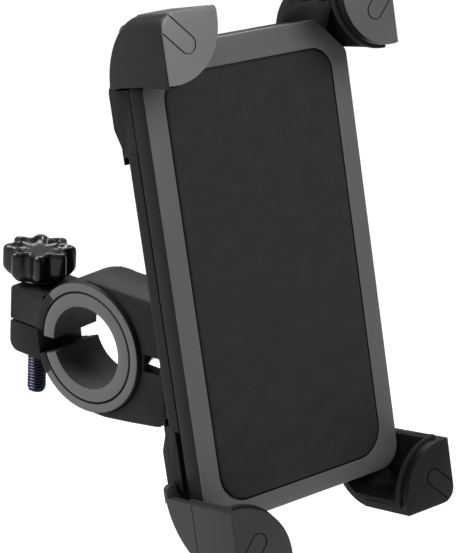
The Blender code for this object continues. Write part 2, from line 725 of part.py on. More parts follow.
def claw(maker, tag, sx, sz):
    """One corner claw: lip, two walls, a floor that runs under the head, and its rubber liner."""
    name = f"claw_{tag}"
    tongue = [
        (TONGUE_IN, MIDDLE_HALF + 0.6, 0.5),
        (23.0, MIDDLE_HALF + 0.6, 1.0),
        (31.2, SKIRT_END + 0.1, 0.0),
        (31.6, SKIRT_END + 0.4, 0.0),
        (HALF_WIDTH + GAP, SKIRT_END + 0.4, 0.0),
        (HALF_WIDTH + GAP, 52.6, 0.4),
        (CLAW_X, 52.6, 2.5),
        (CLAW_X, 60.0, 0.0),
        (CLAW_X - 5.0, 66.0, 0.0),
        (24.0, 66.0, 0.0),
        (18.0, 60.0, 2.0),
    ]
    tongue = [Vector((sx * u, sz * v)) for u, v in rounded(tongue)]
    body = maker.place(name, prism(lip_outline(sx, sz), CLAW_FRONT, CLAW_BACK, "XZ"), "grey_plastic")
    floor = maker.place(f"{name}_tongue", prism(tongue, CLAW_BACK - CLAW_WALL, CLAW_BACK, "XZ"), None)
    maker.fuse(body, floor)
    maker.limit(body, *cup_limits(maker, f"{name}_outer", sx, sz, 0.0, CLAW_FRONT - 1.0))
    hollow, across = cup_limits(maker, f"{name}_inner", sx, sz, CLAW_WALL, CLAW_FRONT + LIP_THICK)
    maker.limit(hollow, across)
    maker.cut(body, hollow)
    x, z = slide_point(sx, sz, CLAW_SCREW[0], CLAW_SCREW[1] * sx * sz)
    maker.cut(body, maker.place(f"{name}_hole", rod(1.8, 10.0, 15.0, (x, 0, z), (0, 1, 0), 16), None))
    claw_liner(maker, tag, sx, sz)
    pin = [(0.0, 13.4), (1.5, 13.4), (1.5, 9.2), (2.7, 9.2), (2.7, 7.9), (0.0, 7.9)]
    maker.place(f"claw_screw_{tag}", turned(pin, (x, 0, z), (0, 1, 0), 14), "zinc")


def claw_liner(maker, tag, sx, sz):
    """The rubber inside a claw: behind the lip and along both walls."""
    inset = CLAW_WALL + GAP
    front = CLAW_FRONT + LIP_THICK + GAP
    outline = lip_outline(sx, sz, grow=0.9, inset=inset)
    body = maker.place(f"claw_liner_{tag}", prism(outline, front, LINER_BACK, "XZ"), "rubber")
    maker.limit(body, *cup_limits(maker, f"liner_{tag}_outer", sx, sz, inset, front - 1.0))
    far = inset + LINER_THICK
    x = sorted((sx * 5.0, sx * (CLAW_X - far)))
    z = sorted((sz * 30.0, sz * (CLAW_Z - far)))
    maker.cut(body, maker.place(f"liner_{tag}_hollow", block(x, (front + 1.4, 20.0), z), None))


def slide_point(sx, sz, along, across):
    """Turn a point along and across a claw's slide line into the head's x and z."""
    ux = sx * SLIDE_X
    uz = sz * SLIDE_Z
    return along * ux + across * uz, along * uz - across * ux


def tooth_half(radius):
    """Return half the angle of a gear tooth at a radius, on an involute flank."""

    def involute(angle):
        return math.tan(angle) - angle

    at_pitch = (PITCH - 2.0 * BACKLASH) / 4.0 / GEAR_RADIUS
    base = GEAR_RADIUS * math.cos(PRESSURE)
    return at_pitch + involute(PRESSURE) - involute(math.acos(min(1.0, base / radius)))


def sync_gear(maker):
    """The pinion that links the four racks, with the ratchet disc that the lock holds."""
    base = GEAR_RADIUS * math.cos(PRESSURE)
    top = GEAR_RADIUS + ADDENDUM
    root = GEAR_RADIUS - DEDENDUM
    flank = [base + (top - base) * i / 2 for i in range(3)]
    points = []
    for tooth in range(GEAR_TEETH):
        middle = TAU * tooth / GEAR_TEETH
        sides = [(root, tooth_half(base) + 0.02)] + [(r, tooth_half(r)) for r in flank]
        for sign, run in ((-1, sides), (1, sides[::-1])):
            points += [Vector((r * math.cos(middle + sign * h), r * math.sin(middle + sign * h))) for r, h in run]
    gear = maker.place("sync_gear", prism(points, LEVEL_A[0] - 0.2, LEVEL_B[1], "XZ"), "zinc")
    saw = []
    for tooth in range(RATCHET_TEETH):
        for part, radius in ((0.0, RATCHET_RADIUS - 0.9), (0.85, RATCHET_RADIUS)):
            angle = TAU * (tooth + part) / RATCHET_TEETH
            saw.append(Vector((radius * math.cos(angle), radius * math.sin(angle))))
    disc = maker.place("ratchet_core", prism(saw, *RATCHET, "XZ"), None)
    hub = maker.place("gear_hub_core", rod(5.2, LEVEL_B[1] - 0.5, RATCHET[0] + 0.5, (0, 0, 0), (0, 1, 0)), None)
    maker.fuse(gear, hub, disc)
    maker.cut(gear, maker.place("gear_hole", rod(2.5, 5.0, 15.0, (0, 0, 0), (0, 1, 0)), None))


def slide_arm(maker, tag, sx, sz):
    """The steel arm of a claw: a rack at its inner end and a wide foot under the claw's floor."""
    facing = math.atan2(-sx * SLIDE_X, sz * SLIDE_Z)
    tip = GEAR_RADIUS - ADDENDUM
    root = GEAR_RADIUS + DEDENDUM
    at_pitch = (PITCH - 2.0 * BACKLASH) / 4.0
    slope = math.tan(PRESSURE)
    phase = (-facing * GEAR_RADIUS) % PITCH + PITCH / 2.0
    first = math.ceil((RACK_TAIL + 1.3 - phase) / PITCH)
    last = math.floor((RACK_HEAD - 1.3 - phase) / PITCH)
    outline = [(RACK_TAIL, root)]
    for tooth in range(first, last + 1):
        middle = phase + tooth * PITCH
        wide = at_pitch + DEDENDUM * slope
        narrow = at_pitch - ADDENDUM * slope
        outline += [(middle - wide, root), (middle - narrow, tip), (middle + narrow, tip), (middle + wide, root)]
    if sx * sz > 0:
        outline += [(27.0, root), (34.0, -9.0), (66.0, -9.0), (66.0, 2.6), (40.0, 2.6), (33.0, RACK_EDGE)]
    else:
        outline += [(36.0, root), (38.0, -2.6), (66.0, -2.6), (66.0, 9.0), (58.0, RACK_EDGE)]
    outline += [(RACK_TAIL, RACK_EDGE)]
    level = LEVEL_A if sx * sz > 0 else LEVEL_B
    points = [Vector(slide_point(sx, sz, *p)) for p in outline]
    arm = maker.place(f"slide_arm_{tag}", prism(points, *level, "XZ"), "zinc")
    x, z = slide_point(sx, sz, CLAW_SCREW[0], CLAW_SCREW[1] * sx * sz)
    if level is LEVEL_A:
        raised = [(38.9, -8.8), (65.8, -8.8), (65.8, 2.4), (38.9, 2.4)]
        raised = [Vector(slide_point(sx, sz, *p)) for p in raised]
        maker.fuse(arm, maker.place(f"arm_{tag}_step", prism(raised, LEVEL_A[1] - 0.4, LEVEL_B[1], "XZ"), None))
        relief = [(41.0, -12.0), (70.0, -12.0), (70.0, 8.0), (41.0, 8.0)]
        relief = [Vector(slide_point(sx, sz, *p)) for p in relief]
        maker.cut(arm, maker.place(f"arm_{tag}_relief", prism(relief, 5.0, LEVEL_B[0], "XZ"), None))
    maker.cut(arm, maker.place(f"arm_{tag}_hole", rod(1.8, 6.0, 15.0, (x, 0, z), (0, 1, 0), 16), None))


def release(maker):
    """The lock slider with its window round the ratchet, the push button and the two springs."""
    outline = [(-18.3, -5.0), (-10.5, -12.5), (14.0, -12.5), (23.5, -5.0), (23.5, 5.0), (14.0, 12.5), (-10.5, 12.5)]
    outline += [(-18.3, 5.0)]
    catch = -RATCHET_RADIUS - GAP
    window = [(catch, 0.5), (catch - 1.3, 1.2), (catch - 1.3, 9.4), (12.2, 9.4), (12.2, -9.4), (catch - 1.3, -9.4)]
    window += [(catch - 1.3, -1.2), (catch, -0.5)]
    slider = maker.place("release_slider", prism(outline, *SLIDER, "XZ", [window]), "zinc")
    for index, x in enumerate(((-18.3, -17.0), (22.2, 23.5))):
        tab = block(x, (8.2, SLIDER[1] - 0.3), (-2.6, 2.6))
        maker.fuse(slider, maker.place(f"slider_tab_{index + 1}", tab, None))
    maker.place("release_button", block((23.8, 36.6), (8.4, 11.2), (-6.4, 6.4), 0.5), "dark_plastic")
    coil("release_spring", 1.5, 0.26, 13.0, 6, 8, (-18.8, 10.4, 0.0), (-1, 0, 0), "zinc", maker)
    coil("opening_spring", 6.2, 0.4, 1.6, 2.5, 32, (0.0, 3.4, 0.0), (0, 1, 0), "zinc", maker)


def main():
    clear_scene()
    parts = make_collection("phone_handlebar_mount")
    cutters = make_collection("cutters")
    clamp = Builder(parts, cutters)
    clamp_body(clamp)
    bar_sleeve(clamp)
    clamp_bolt(clamp)
    star_knob(clamp)
    ball_stud(clamp)

    turn = Euler((HEAD_TILT, HEAD_ROLL, HEAD_YAW), "YXZ")
    head_frame = bpy.data.objects.new("head_frame", None)
    head_frame.rotation_mode = "YXZ"
    head_frame.rotation_euler = turn
    head_frame.location = (BALL_CENTRE - turn.to_matrix() @ Vector((0.0, BALL_Y, BALL_Z))) * MM
    parts.objects.link(head_frame)
    head = Builder(parts, cutters, head_frame)
    ball_joint(head)
    front_frame(head)
    front_pad(head)
    chassis_plate(head)
    back_shell(head)
    sync_gear(head)
    release(head)
    for tag, (sx, sz) in CLAWS.items():
        claw(head, tag, sx, sz)
        slide_arm(head, tag, sx, sz)
    bpy.context.view_layer.update()


if __name__ == "__main__":
    main()
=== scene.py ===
"""Looks of a phone handlebar mount: padded head, linked corner claws, ball joint, bar clamp and lobed knob.

Sizes are in millimetres; every mesh is turned into the row frame in metres when it is made.
"""

from __future__ import annotations

import logging
import math
from dataclasses import dataclass, field
from enum import Enum
from typing import Sequence

import bmesh
import bpy
import numpy as np
from mathutils import Matrix, Vector


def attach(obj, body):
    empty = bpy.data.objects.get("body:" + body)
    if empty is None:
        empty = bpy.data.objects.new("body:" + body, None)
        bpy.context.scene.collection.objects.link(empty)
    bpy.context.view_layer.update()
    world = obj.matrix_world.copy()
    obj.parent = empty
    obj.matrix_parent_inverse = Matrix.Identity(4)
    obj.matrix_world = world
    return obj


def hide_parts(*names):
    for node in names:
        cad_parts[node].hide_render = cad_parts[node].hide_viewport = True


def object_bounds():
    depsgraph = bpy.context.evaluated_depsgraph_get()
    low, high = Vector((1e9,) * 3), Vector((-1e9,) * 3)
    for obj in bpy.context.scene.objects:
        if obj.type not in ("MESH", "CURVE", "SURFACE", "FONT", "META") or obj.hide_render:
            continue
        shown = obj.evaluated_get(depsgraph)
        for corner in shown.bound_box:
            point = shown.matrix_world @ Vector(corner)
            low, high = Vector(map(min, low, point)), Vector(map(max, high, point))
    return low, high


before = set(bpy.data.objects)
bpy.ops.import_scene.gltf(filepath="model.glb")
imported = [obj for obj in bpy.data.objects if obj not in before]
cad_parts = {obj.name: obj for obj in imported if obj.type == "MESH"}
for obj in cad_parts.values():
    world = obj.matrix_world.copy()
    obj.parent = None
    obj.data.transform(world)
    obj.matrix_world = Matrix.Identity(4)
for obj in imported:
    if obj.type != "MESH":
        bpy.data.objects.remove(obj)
CAD_BOUNDS = [[float(value) for value in corner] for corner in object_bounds()]

LOG = logging.getLogger("phone_mount")
MM = 0.001
TAU = 2.0 * math.pi


# ---------------------------------------------------------------- frames


@dataclass(frozen=True)
class Placement:
    """A frame that pieces are drawn in, and how it sits in the row frame.

    Args:
        turn: 3 by 3 rotation from the drawing frame to the row frame.
        origin: the drawing frame's origin in the row frame, in millimetres.
    """

    turn: tuple[tuple[float, float, float], ...] = ((1.0, 0.0, 0.0), (0.0, 1.0, 0.0), (0.0, 0.0, 1.0))
    origin: tuple[float, float, float] = (0.0, 0.0, 0.0)

    def apply(self, points: np.ndarray) -> np.ndarray:
        """Return the points in the row frame, in metres: rotation times point, plus origin."""
        return (points @ np.array(self.turn).T + np.array(self.origin)) * MM


def head_placement() -> Placement:
    """Return the head's frame, from its yaw, tilt and roll about the ball's centre."""
    yaw, tilt, roll = (math.radians(angle) for angle in (-15.0, -15.8, -2.3))
    turn = Matrix.Rotation(yaw, 3, "Z") @ Matrix.Rotation(tilt, 3, "X") @ Matrix.Rotation(roll, 3, "Y")
    ball = Vector((0.0, -46.9, 1.2))
    origin = ball - turn @ Vector((0.0, 30.0, -34.9))
    return Placement(tuple(tuple(row) for row in turn), tuple(origin))


class Plane(Enum):
    """Which drawing axes an outline's two coordinates and its depth run along."""

    XY = (0, 1, 2)
    XZ = (0, 2, 1)
    YZ = (1, 2, 0)


# ---------------------------------------------------------------- outlines


def rounded(corners: Sequence[tuple[float, float, float]], step: float = 7.0) -> np.ndarray:
    """Return an outline whose corners are replaced by arcs.

    Each arc's centre is on the corner's bisector, at radius / sin(half angle) from the corner.

    Args:
        corners: (u, v, radius) in order round the outline.
        step: largest turn between two arc points, in degrees.

    Returns:
        An array of outline points, without a repeated end.
    """
    places = np.array([(u, v) for u, v, _ in corners], dtype=float)
    pieces = []
    for index, (_, _, radius) in enumerate(corners):
        here = places[index]
        if radius <= 0.0:
            pieces.append(here[None, :])
            continue
        before = places[index - 1] - here
        after = places[(index + 1) % len(corners)] - here
        before /= np.linalg.norm(before)
        after /= np.linalg.norm(after)
        half = math.acos(float(np.clip(before @ after, -1.0, 1.0))) / 2.0
        bisector = (before + after) / np.linalg.norm(before + after)
        centre = here + bisector * radius / math.sin(half)
        start = here + before * radius / math.tan(half) - centre
        end = here + after * radius / math.tan(half) - centre
        first = math.atan2(start[1], start[0])
        turn = (math.atan2(end[1], end[0]) - first + math.pi) % TAU - math.pi
        count = max(3, int(abs(math.degrees(turn)) / step) + 1)
        angles = first + turn * np.linspace(0.0, 1.0, count)
        pieces.append(centre + radius * np.stack([np.cos(angles), np.sin(angles)], axis=1))
    return np.concatenate(pieces)


def arc(centre: tuple[float, float], radius: float, start: float, end: float, count: int) -> np.ndarray:
    """Return count points on an arc between two angles in degrees: centre + radius (cos, sin)."""
    angles = np.radians(np.linspace(start, end, count))
    return np.array(centre) + radius * np.stack([np.cos(angles), np.sin(angles)], axis=1)


def circle(radius: float, count: int = 64, centre: tuple[float, float] = (0.0, 0.0)) -> np.ndarray:
    """Return a circle's points without a repeated end."""
    return arc(centre, radius, 0.0, 360.0, count + 1)[:-1]


def inset(outline: np.ndarray, distance: float) -> np.ndarray:
    """Return the outline moved inwards: each point goes along its mitre, the sum of its two edge normals."""
    ahead = np.roll(outline, -1, axis=0) - outline
    ahead /= np.maximum(np.linalg.norm(ahead, axis=1, keepdims=True), 1e-9)
    behind = np.roll(ahead, 1, axis=0)
    area = np.sum(outline[:, 0] * np.roll(outline[:, 1], -1) - np.roll(outline[:, 0], -1) * outline[:, 1])
    sign = 1.0 if area > 0.0 else -1.0
    normals = sign * np.stack([-(ahead[:, 1] + behind[:, 1]), ahead[:, 0] + behind[:, 0]], axis=1)
    scale = np.maximum(1.0 + np.sum(ahead * behind, axis=1, keepdims=True), 0.35)
    return outline + distance * normals / scale


def by_angle(outline: np.ndarray, count: int) -> np.ndarray:
    """Return the outline where even rays from the origin meet it, so that outlines match by point."""
    closed = np.concatenate([outline, outline[:1]])
    steps = np.linspace(0.0, 1.0, 40, endpoint=False)[None, :, None]
    dense = (closed[:-1, None, :] * (1.0 - steps) + closed[1:, None, :] * steps).reshape(-1, 2)
    angles = np.arctan2(dense[:, 1], dense[:, 0]) % TAU
    order = np.argsort(angles)
    wanted = np.linspace(0.0, TAU, count, endpoint=False)
    radius = np.interp(wanted, angles[order], np.linalg.norm(dense[order], axis=1), period=TAU)
    return radius[:, None] * np.stack([np.cos(wanted), np.sin(wanted)], axis=1)


# ---------------------------------------------------------------- meshes


def lift(outline: np.ndarray, depth: float | np.ndarray, plane: Plane) -> np.ndarray:
    """Return the outline's points in space, at a depth across its plane."""
    first, second, across = plane.value
    points = np.zeros((len(outline), 3))
    points[:, first] = outline[:, 0]
    points[:, second] = outline[:, 1]
    points[:, across] = depth
    return points


@dataclass
class Skin:
    """A closed surface under construction: points, and faces that index them."""

    points: list[np.ndarray] = field(default_factory=list)
    faces: list[list[int]] = field(default_factory=list)
    total: int = 0

    def grid(
        self, rows: np.ndarray, wrap_rows: bool = False, wrap_columns: bool = True, caps: bool = True
    ) -> None:
        """Add a grid of points with quads between neighbours.

        Args:
            rows: array of shape (row, column, 3).
            wrap_rows: join the last row to the first.
            wrap_columns: join the last column to the first.
            caps: close the first and last row, or column where the rows wrap, with one face each.
        """
        count, width = rows.shape[:2]
        index = self.total + np.arange(count * width).reshape(count, width)
        lower = index if wrap_rows else index[:-1]
        upper = np.roll(index, -1, axis=0) if wrap_rows else index[1:]
        right = np.roll(lower, -1, axis=1), np.roll(upper, -1, axis=1)
        quads = np.stack([lower, right[0], right[1], upper], axis=-1)
        if not wrap_columns:
            quads = quads[:, :-1]
        self.faces += quads.reshape(-1, 4).tolist()
        if caps and wrap_columns and not wrap_rows:
            self.faces += [index[0][::-1].tolist(), index[-1].tolist()]
        if caps and wrap_rows and not wrap_columns:
            self.faces += [index[:, 0].tolist(), index[:, -1][::-1].tolist()]
        self.points.append(rows.reshape(-1, 3))
        self.total += count * width

    def plate(self, outline: np.ndarray, low: float, high: float, plane: Plane, edge: float = 0.3) -> None:
        """Add a solid plate from low to high with its edges rounded over two steps."""
        near, far = edge * 0.3, edge
        rows = [(far, low), (near, low + near), (0.0, low + far)]
        rows += [(0.0, high - far), (near, high - near), (far, high)]
        self.grid(stack([(inset(outline, step), depth) for step, depth in rows], plane))

    def mesh(self, name: str, placement: Placement, sharp: float = 32.0) -> bpy.types.Mesh:
        """Return the mesh, in the row frame, smooth with sharp edges over an angle in degrees."""
        mesh = bpy.data.meshes.new(name)
        mesh.from_pydata(placement.apply(np.concatenate(self.points)).tolist(), [], self.faces)
        tidy(mesh, sharp)
        return mesh


def solid(
    name: str, rows: np.ndarray, placement: Placement, sharp: float = 32.0, ring: bool = False
) -> bpy.types.Mesh:
    """Return the mesh of one closed grid of points.

    Args:
        name: the mesh's name.
        rows: array of shape (row, column, 3), whose columns close on themselves.
        placement: the drawing frame.
        sharp: edges over this angle, in degrees, stay sharp.
        ring: join the last row to the first, where the ends would otherwise be capped.
    """
    skin = Skin()
    skin.grid(rows, wrap_rows=ring, caps=not ring)
    return skin.mesh(name, placement, sharp)


def stack(levels: Sequence[tuple[np.ndarray, float]], plane: Plane) -> np.ndarray:
    """Return a grid whose rows are outlines, each at its own depth across the plane."""
    return np.stack([lift(outline, depth, plane) for outline, depth in levels])


def normals_of(mesh: bpy.types.Mesh) -> np.ndarray:
    """Return the faces' normals as an array of shape (face, 3)."""
    normals = np.zeros(len(mesh.polygons) * 3)
    mesh.polygons.foreach_get("normal", normals)
    return normals.reshape(-1, 3)


def tidy(mesh: bpy.types.Mesh, sharp: float) -> None:
    """Merge doubles, point the faces outwards and set smooth shading with sharp edges."""
    work = bmesh.new()
    work.from_mesh(mesh)
    bmesh.ops.remove_doubles(work, verts=work.verts, dist=1e-7)
    bmesh.ops.recalc_face_normals(work, faces=work.faces)
    work.to_mesh(mesh)
    work.free()
    mesh.shade_smooth()
    mesh.set_sharp_from_angle(angle=math.radians(sharp))


def polar(radius: np.ndarray, angles: np.ndarray, height: np.ndarray) -> np.ndarray:
    """Return the points (radius cos a, radius sin a, height) round the Z axis."""
    return np.stack([radius * np.cos(angles), radius * np.sin(angles), height], axis=-1)


def nut_rows(across: float, bore: float, low: float, high: float, chamfer: float, plane: Plane) -> np.ndarray:
    """Return the closed section of a hexagon nut, carried round its bore, with its outer edges cut back.

    Args:
        across: width over two flats.
        bore: radius of the plain hole.
        low: depth of the first face.
        high: depth of the second face.
        chamfer: how far the outer edges are cut back.
        plane: plane of the hexagon, whose corners lie along the first axis.
    """
    outer = by_angle(circle(across / math.sqrt(3.0), 6), 96)
    inner = circle(bore, 96)
    trimmed = inset(outer, chamfer)
    levels = [(inner, low), (trimmed, low), (outer, low + chamfer)]
    levels += [(outer, high - chamfer), (trimmed, high), (inner, high)]
    return stack(levels, plane)


def lathe_rows(
    profile: Sequence[tuple[float, float]], count: int = 64, ripple: np.ndarray | None = None
) -> np.ndarray:
    """Return the rows of a turned surface: (radius cos a, radius sin a, height).

    Args:
        profile: (radius, height) from one end to the other; a zero radius closes a pole.
        count: points round the axis.
        ripple: array of (row, column) radius changes, such as lobes or grip notches.
    """
    table = np.array(profile, dtype=float)
    angles = np.linspace(0.0, TAU, count, endpoint=False)
    radius = table[:, 0:1] + (0.0 if ripple is None else ripple)
    radius = np.maximum(radius * np.ones((1, count)), 1e-4)
    height = table[:, 1:2] * np.ones((1, count))
    return polar(radius, angles, height)


def arc_sweep(section: np.ndarray, start: float, end: float, count: int) -> np.ndarray:
    """Carry a closed section round the X axis.

    The section's first coordinate runs along X and its second is the radius r, so each point becomes
    (x, r cos a, r sin a) at every angle a between start and end, in degrees.
    """
    angles = np.radians(np.linspace(start, end, count))[:, None]
    along, radius = section[:, 0][None, :], section[:, 1][None, :]
    return np.stack([along + 0.0 * angles, radius * np.cos(angles), radius * np.sin(angles)], axis=-1)


def aim(rows: np.ndarray, centre: Sequence[float], axis: str) -> np.ndarray:
    """Turn a surface drawn round +Z so that it runs along an axis of the drawing frame, and move it."""
    order = {"Z": (0, 1, 2), "Y": (1, 2, 0), "X": (2, 0, 1)}[axis]
    return rows[..., order] + np.array(centre, dtype=float)


def densify(profile: Sequence[tuple[float, float]], bends: float = 0.35) -> list[tuple[float, float]]:
    """Return the profile with each corner cut back a little, so that turned edges catch the light."""
    table = np.array(profile, dtype=float)
    result = [tuple(table[0])]
    for before, here, after in zip(table[:-2], table[1:-1], table[2:]):
        back, on = before - here, after - here
        reach = min(bends, 0.4 * np.linalg.norm(back), 0.4 * np.linalg.norm(on))
        start = here + back / max(np.linalg.norm(back), 1e-9) * reach
        end = here + on / max(np.linalg.norm(on), 1e-9) * reach
        middle = here * 0.5 + (start + end) * 0.25
        result += [tuple(start), tuple(middle), tuple(end)]
    result.append(tuple(table[-1]))
    return result


# ---------------------------------------------------------------- shader expressions


class Term:
    """A socket that takes part in arithmetic; each operator adds one Math node."""

    def __init__(self, tree: bpy.types.NodeTree, socket: bpy.types.NodeSocket) -> None:
        self.tree = tree
        self.socket = socket

    def _math(self, operation: str, first: "Term | float", second: "Term | float") -> "Term":
        """Return the Math node's result for two terms or numbers."""
        node = self.tree.nodes.new("ShaderNodeMath")
        node.operation = operation
        for slot, value in zip(node.inputs, (first, second)):
            feed(self.tree, slot, value)
        return Term(self.tree, node.outputs[0])

    def __add__(self, other: "Term | float") -> "Term":
        """Sum."""
        return self._math("ADD", self, other)

    __radd__ = __add__

    def __mul__(self, other: "Term | float") -> "Term":
        """Product."""
        return self._math("MULTIPLY", self, other)

    __rmul__ = __mul__

    def sine(self) -> "Term":
        """Sine of the term."""
        return self._math("SINE", self, 0.0)

    def above(self, low: float, high: float) -> "Term":
        """Return 0 below low, 1 above high and a smooth rise between."""
        node = self.tree.nodes.new("ShaderNodeMapRange")
        node.interpolation_type = "SMOOTHSTEP"
        node.inputs["From Min"].default_value = low
        node.inputs["From Max"].default_value = high
        self.tree.links.new(self.socket, node.inputs["Value"])
        return Term(self.tree, node.outputs["Result"])


def feed(tree: bpy.types.NodeTree, slot: bpy.types.NodeSocket, value: object) -> None:
    """Link a term to an input, or set the input to a plain value."""
    if isinstance(value, Term):
        tree.links.new(value.socket, slot)
    else:
        slot.default_value = value


class Recipe:
    """One material's node tree, with the Principled shader that finishes it."""

    def __init__(self, name: str) -> None:
        self.material = bpy.data.materials.new(name)
        self.material.use_nodes = True
        self.tree = self.material.node_tree
        self.shader = self.tree.nodes["Principled BSDF"]

    def node(self, kind: str, output: str | int = 0, settings: dict | None = None, **sockets: object) -> Term:
        """Add any node and return one of its outputs.

        Args:
            kind: the node's type.
            output: name or number of the output.
            settings: node properties, set before the sockets.
            sockets: values or terms by socket name, with underscores for spaces.
        """
        node = self.tree.nodes.new(kind)
        for key, value in (settings or {}).items():
            setattr(node, key, value)
        for key, value in sockets.items():
            slot = node.inputs[int(key[1:])] if key[1:].isdigit() else node.inputs[key.replace("_", " ")]
            feed(self.tree, slot, value)
        return Term(self.tree, node.outputs[output])

    def place(self) -> Term:
        """Object coordinates."""
        return self.node("ShaderNodeTexCoord", "Object")

    def noise(self, scale: float, detail: float = 2.0, at: Term | None = None, rough: float = 0.5) -> Term:
        """A noise value between 0 and 1 at a scale in cycles a metre."""
        where = at or self.place()
        values = {"Scale": scale, "Detail": detail, "Roughness": rough}
        return self.node("ShaderNodeTexNoise", 0, None, Vector=where, **values)

    def tint(self, amount: Term, dark: Sequence[float], light: Sequence[float]) -> Term:
        """Blend two colours by an amount."""
        settings = {"data_type": "RGBA"}
        return self.node("ShaderNodeMix", 2, settings, _0=amount, _6=(*dark, 1.0), _7=(*light, 1.0))

    def bump(self, height: Term, strength: float, distance: float) -> Term:
        """Turn a height into a normal."""
        return self.node("ShaderNodeBump", 0, None, Height=height, Strength=strength, Distance=distance)

    def finish(self, **sockets: object) -> bpy.types.Material:
        """Set or link the Principled shader's sockets by name and return the material."""
        for key, value in sockets.items():
            feed(self.tree, self.shader.inputs[key.replace("_", " ")], value)
        return self.material


def grey(level: float) -> tuple[float, float, float]:
    """Return a neutral linear colour."""
    return (level, level, level)


@dataclass(frozen=True)
class MouldedPlastic:
    """Satin moulded nylon with a fine spark-eroded grain and faint flow clouds."""

    name: str
    level: float
    roughness: float = 0.46
    grain: float = 0.16
    specular: float = 0.4
    slot: str = "dark_plastic"

    def make(self) -> bpy.types.Material:
        """Build the material."""
        recipe = Recipe(self.name)
        clouds = recipe.noise(45.0, 3.0)
        fine = recipe.noise(3200.0, 2.0)
        pits = recipe.noise(1400.0, 1.0)
        colour = recipe.tint(clouds * 0.75 + fine * 0.25, grey(self.level * 0.86), grey(self.level * 1.14))
        normal = recipe.bump(fine * 0.6 + pits * 0.4, self.grain, 0.00012)
        rough = clouds * 0.08 + fine * 0.05 + (self.roughness - 0.065)
        return recipe.finish(
            Base_Color=colour, Roughness=rough, Normal=normal, IOR=1.5, Specular_IOR_Level=self.specular
        )


@dataclass(frozen=True)
class GripRubber:
    """Matt rubber with a soft dusty bloom."""

    name: str
    level: float
    slot: str = "rubber"

    def make(self) -> bpy.types.Material:
        """Build the material."""
        recipe = Recipe(self.name)
        bloom = recipe.noise(60.0, 4.0)
        fine = recipe.noise(2600.0, 3.0)
        colour = recipe.tint(bloom, grey(self.level * 0.8), grey(self.level * 1.25))
        normal = recipe.bump(fine, 0.25, 0.00015)
        return recipe.finish(
            Base_Color=colour, Roughness=bloom * 0.12 + 0.72, Normal=normal, Specular_IOR_Level=0.25
        )


@dataclass(frozen=True)
class PadCloth:
    """The pad's face: a fine basket texture with faint streaks across it, drawn on the pad's own map."""

    name: str
    level: float
    pitch: float = 0.55
    slot: str = "rubber"

    def make(self) -> bpy.types.Material:
        """Build the material: two crossed sine waves of one pitch, broken up by noise."""
        recipe = Recipe(self.name)
        where = recipe.node("ShaderNodeUVMap", "UV", {"uv_map": "plate"})
        across = recipe.node("ShaderNodeSeparateXYZ", "X", None, Vector=where)
        along = recipe.node("ShaderNodeSeparateXYZ", "Y", None, Vector=where)
        wander = recipe.noise(1.1, 3.0, where)
        rib = (across * (TAU / self.pitch) + wander * 2.0).sine()
        row = (along * (TAU / self.pitch) + wander * 2.0).sine()
        weave = rib * row * 0.5 + 0.5
        stretched = recipe.node(
            "ShaderNodeMapping", 0, {"vector_type": "POINT"}, Vector=where, Scale=(0.06, 0.9, 1.0)
        )
        streaks = recipe.noise(1.0, 4.0, stretched, 0.6)
        mottle = recipe.noise(0.16, 4.0, where, 0.6)
        shade = weave * 0.24 + streaks * 0.3 + mottle * 0.46
        colour = recipe.tint(shade.above(0.2, 0.8), grey(self.level * 0.66), grey(self.level * 1.4))
        fuzz = recipe.noise(5.0, 2.0, where)
        normal = recipe.bump(weave * 0.7 + fuzz * 0.3, 0.35, 0.00012)
        return recipe.finish(
            Base_Color=colour, Roughness=streaks * 0.1 + 0.74, Normal=normal, Specular_IOR_Level=0.2
        )


@dataclass(frozen=True)
class PlatedMetal:
    """Plated or blackened steel with fine drawing lines and dull spots."""

    name: str
    colour: tuple[float, float, float]
    roughness: float = 0.3
    slot: str = "zinc_steel"

    def make(self) -> bpy.types.Material:
        """Build the material."""
        recipe = Recipe(self.name)
        spots = recipe.noise(240.0, 4.0)
        stretched = recipe.node("ShaderNodeMapping", 0, None, Vector=recipe.place(), Scale=(1.0, 1.0, 14.0))
        lines = recipe.noise(420.0, 2.0, stretched)
        dark = tuple(channel * 0.78 for channel in self.colour)
        colour = recipe.tint(spots, dark, self.colour)
        normal = recipe.bump(lines, 0.08, 0.0001)
        return recipe.finish(
            Base_Color=colour, Metallic=1.0, Roughness=spots * 0.14 + (self.roughness - 0.07), Normal=normal
        )


@dataclass(frozen=True)
class GlossKnobPlastic:
    """Polished black plastic with faint handling scuffs."""

    name: str
    level: float
    slot: str = "gloss_black"

    def make(self) -> bpy.types.Material:
        """Build the material."""
        recipe = Recipe(self.name)
        scuffs = recipe.noise(190.0, 5.0)
        smooth = recipe.noise(30.0, 2.0)
        colour = recipe.tint(scuffs, grey(self.level * 0.8), grey(self.level * 1.2))
        normal = recipe.bump(smooth, 0.05, 0.0004)
        rough = scuffs.above(0.45, 0.75) * 0.14 + 0.22
        return recipe.finish(Base_Color=colour, Roughness=rough, Normal=normal, Specular_IOR_Level=0.3)


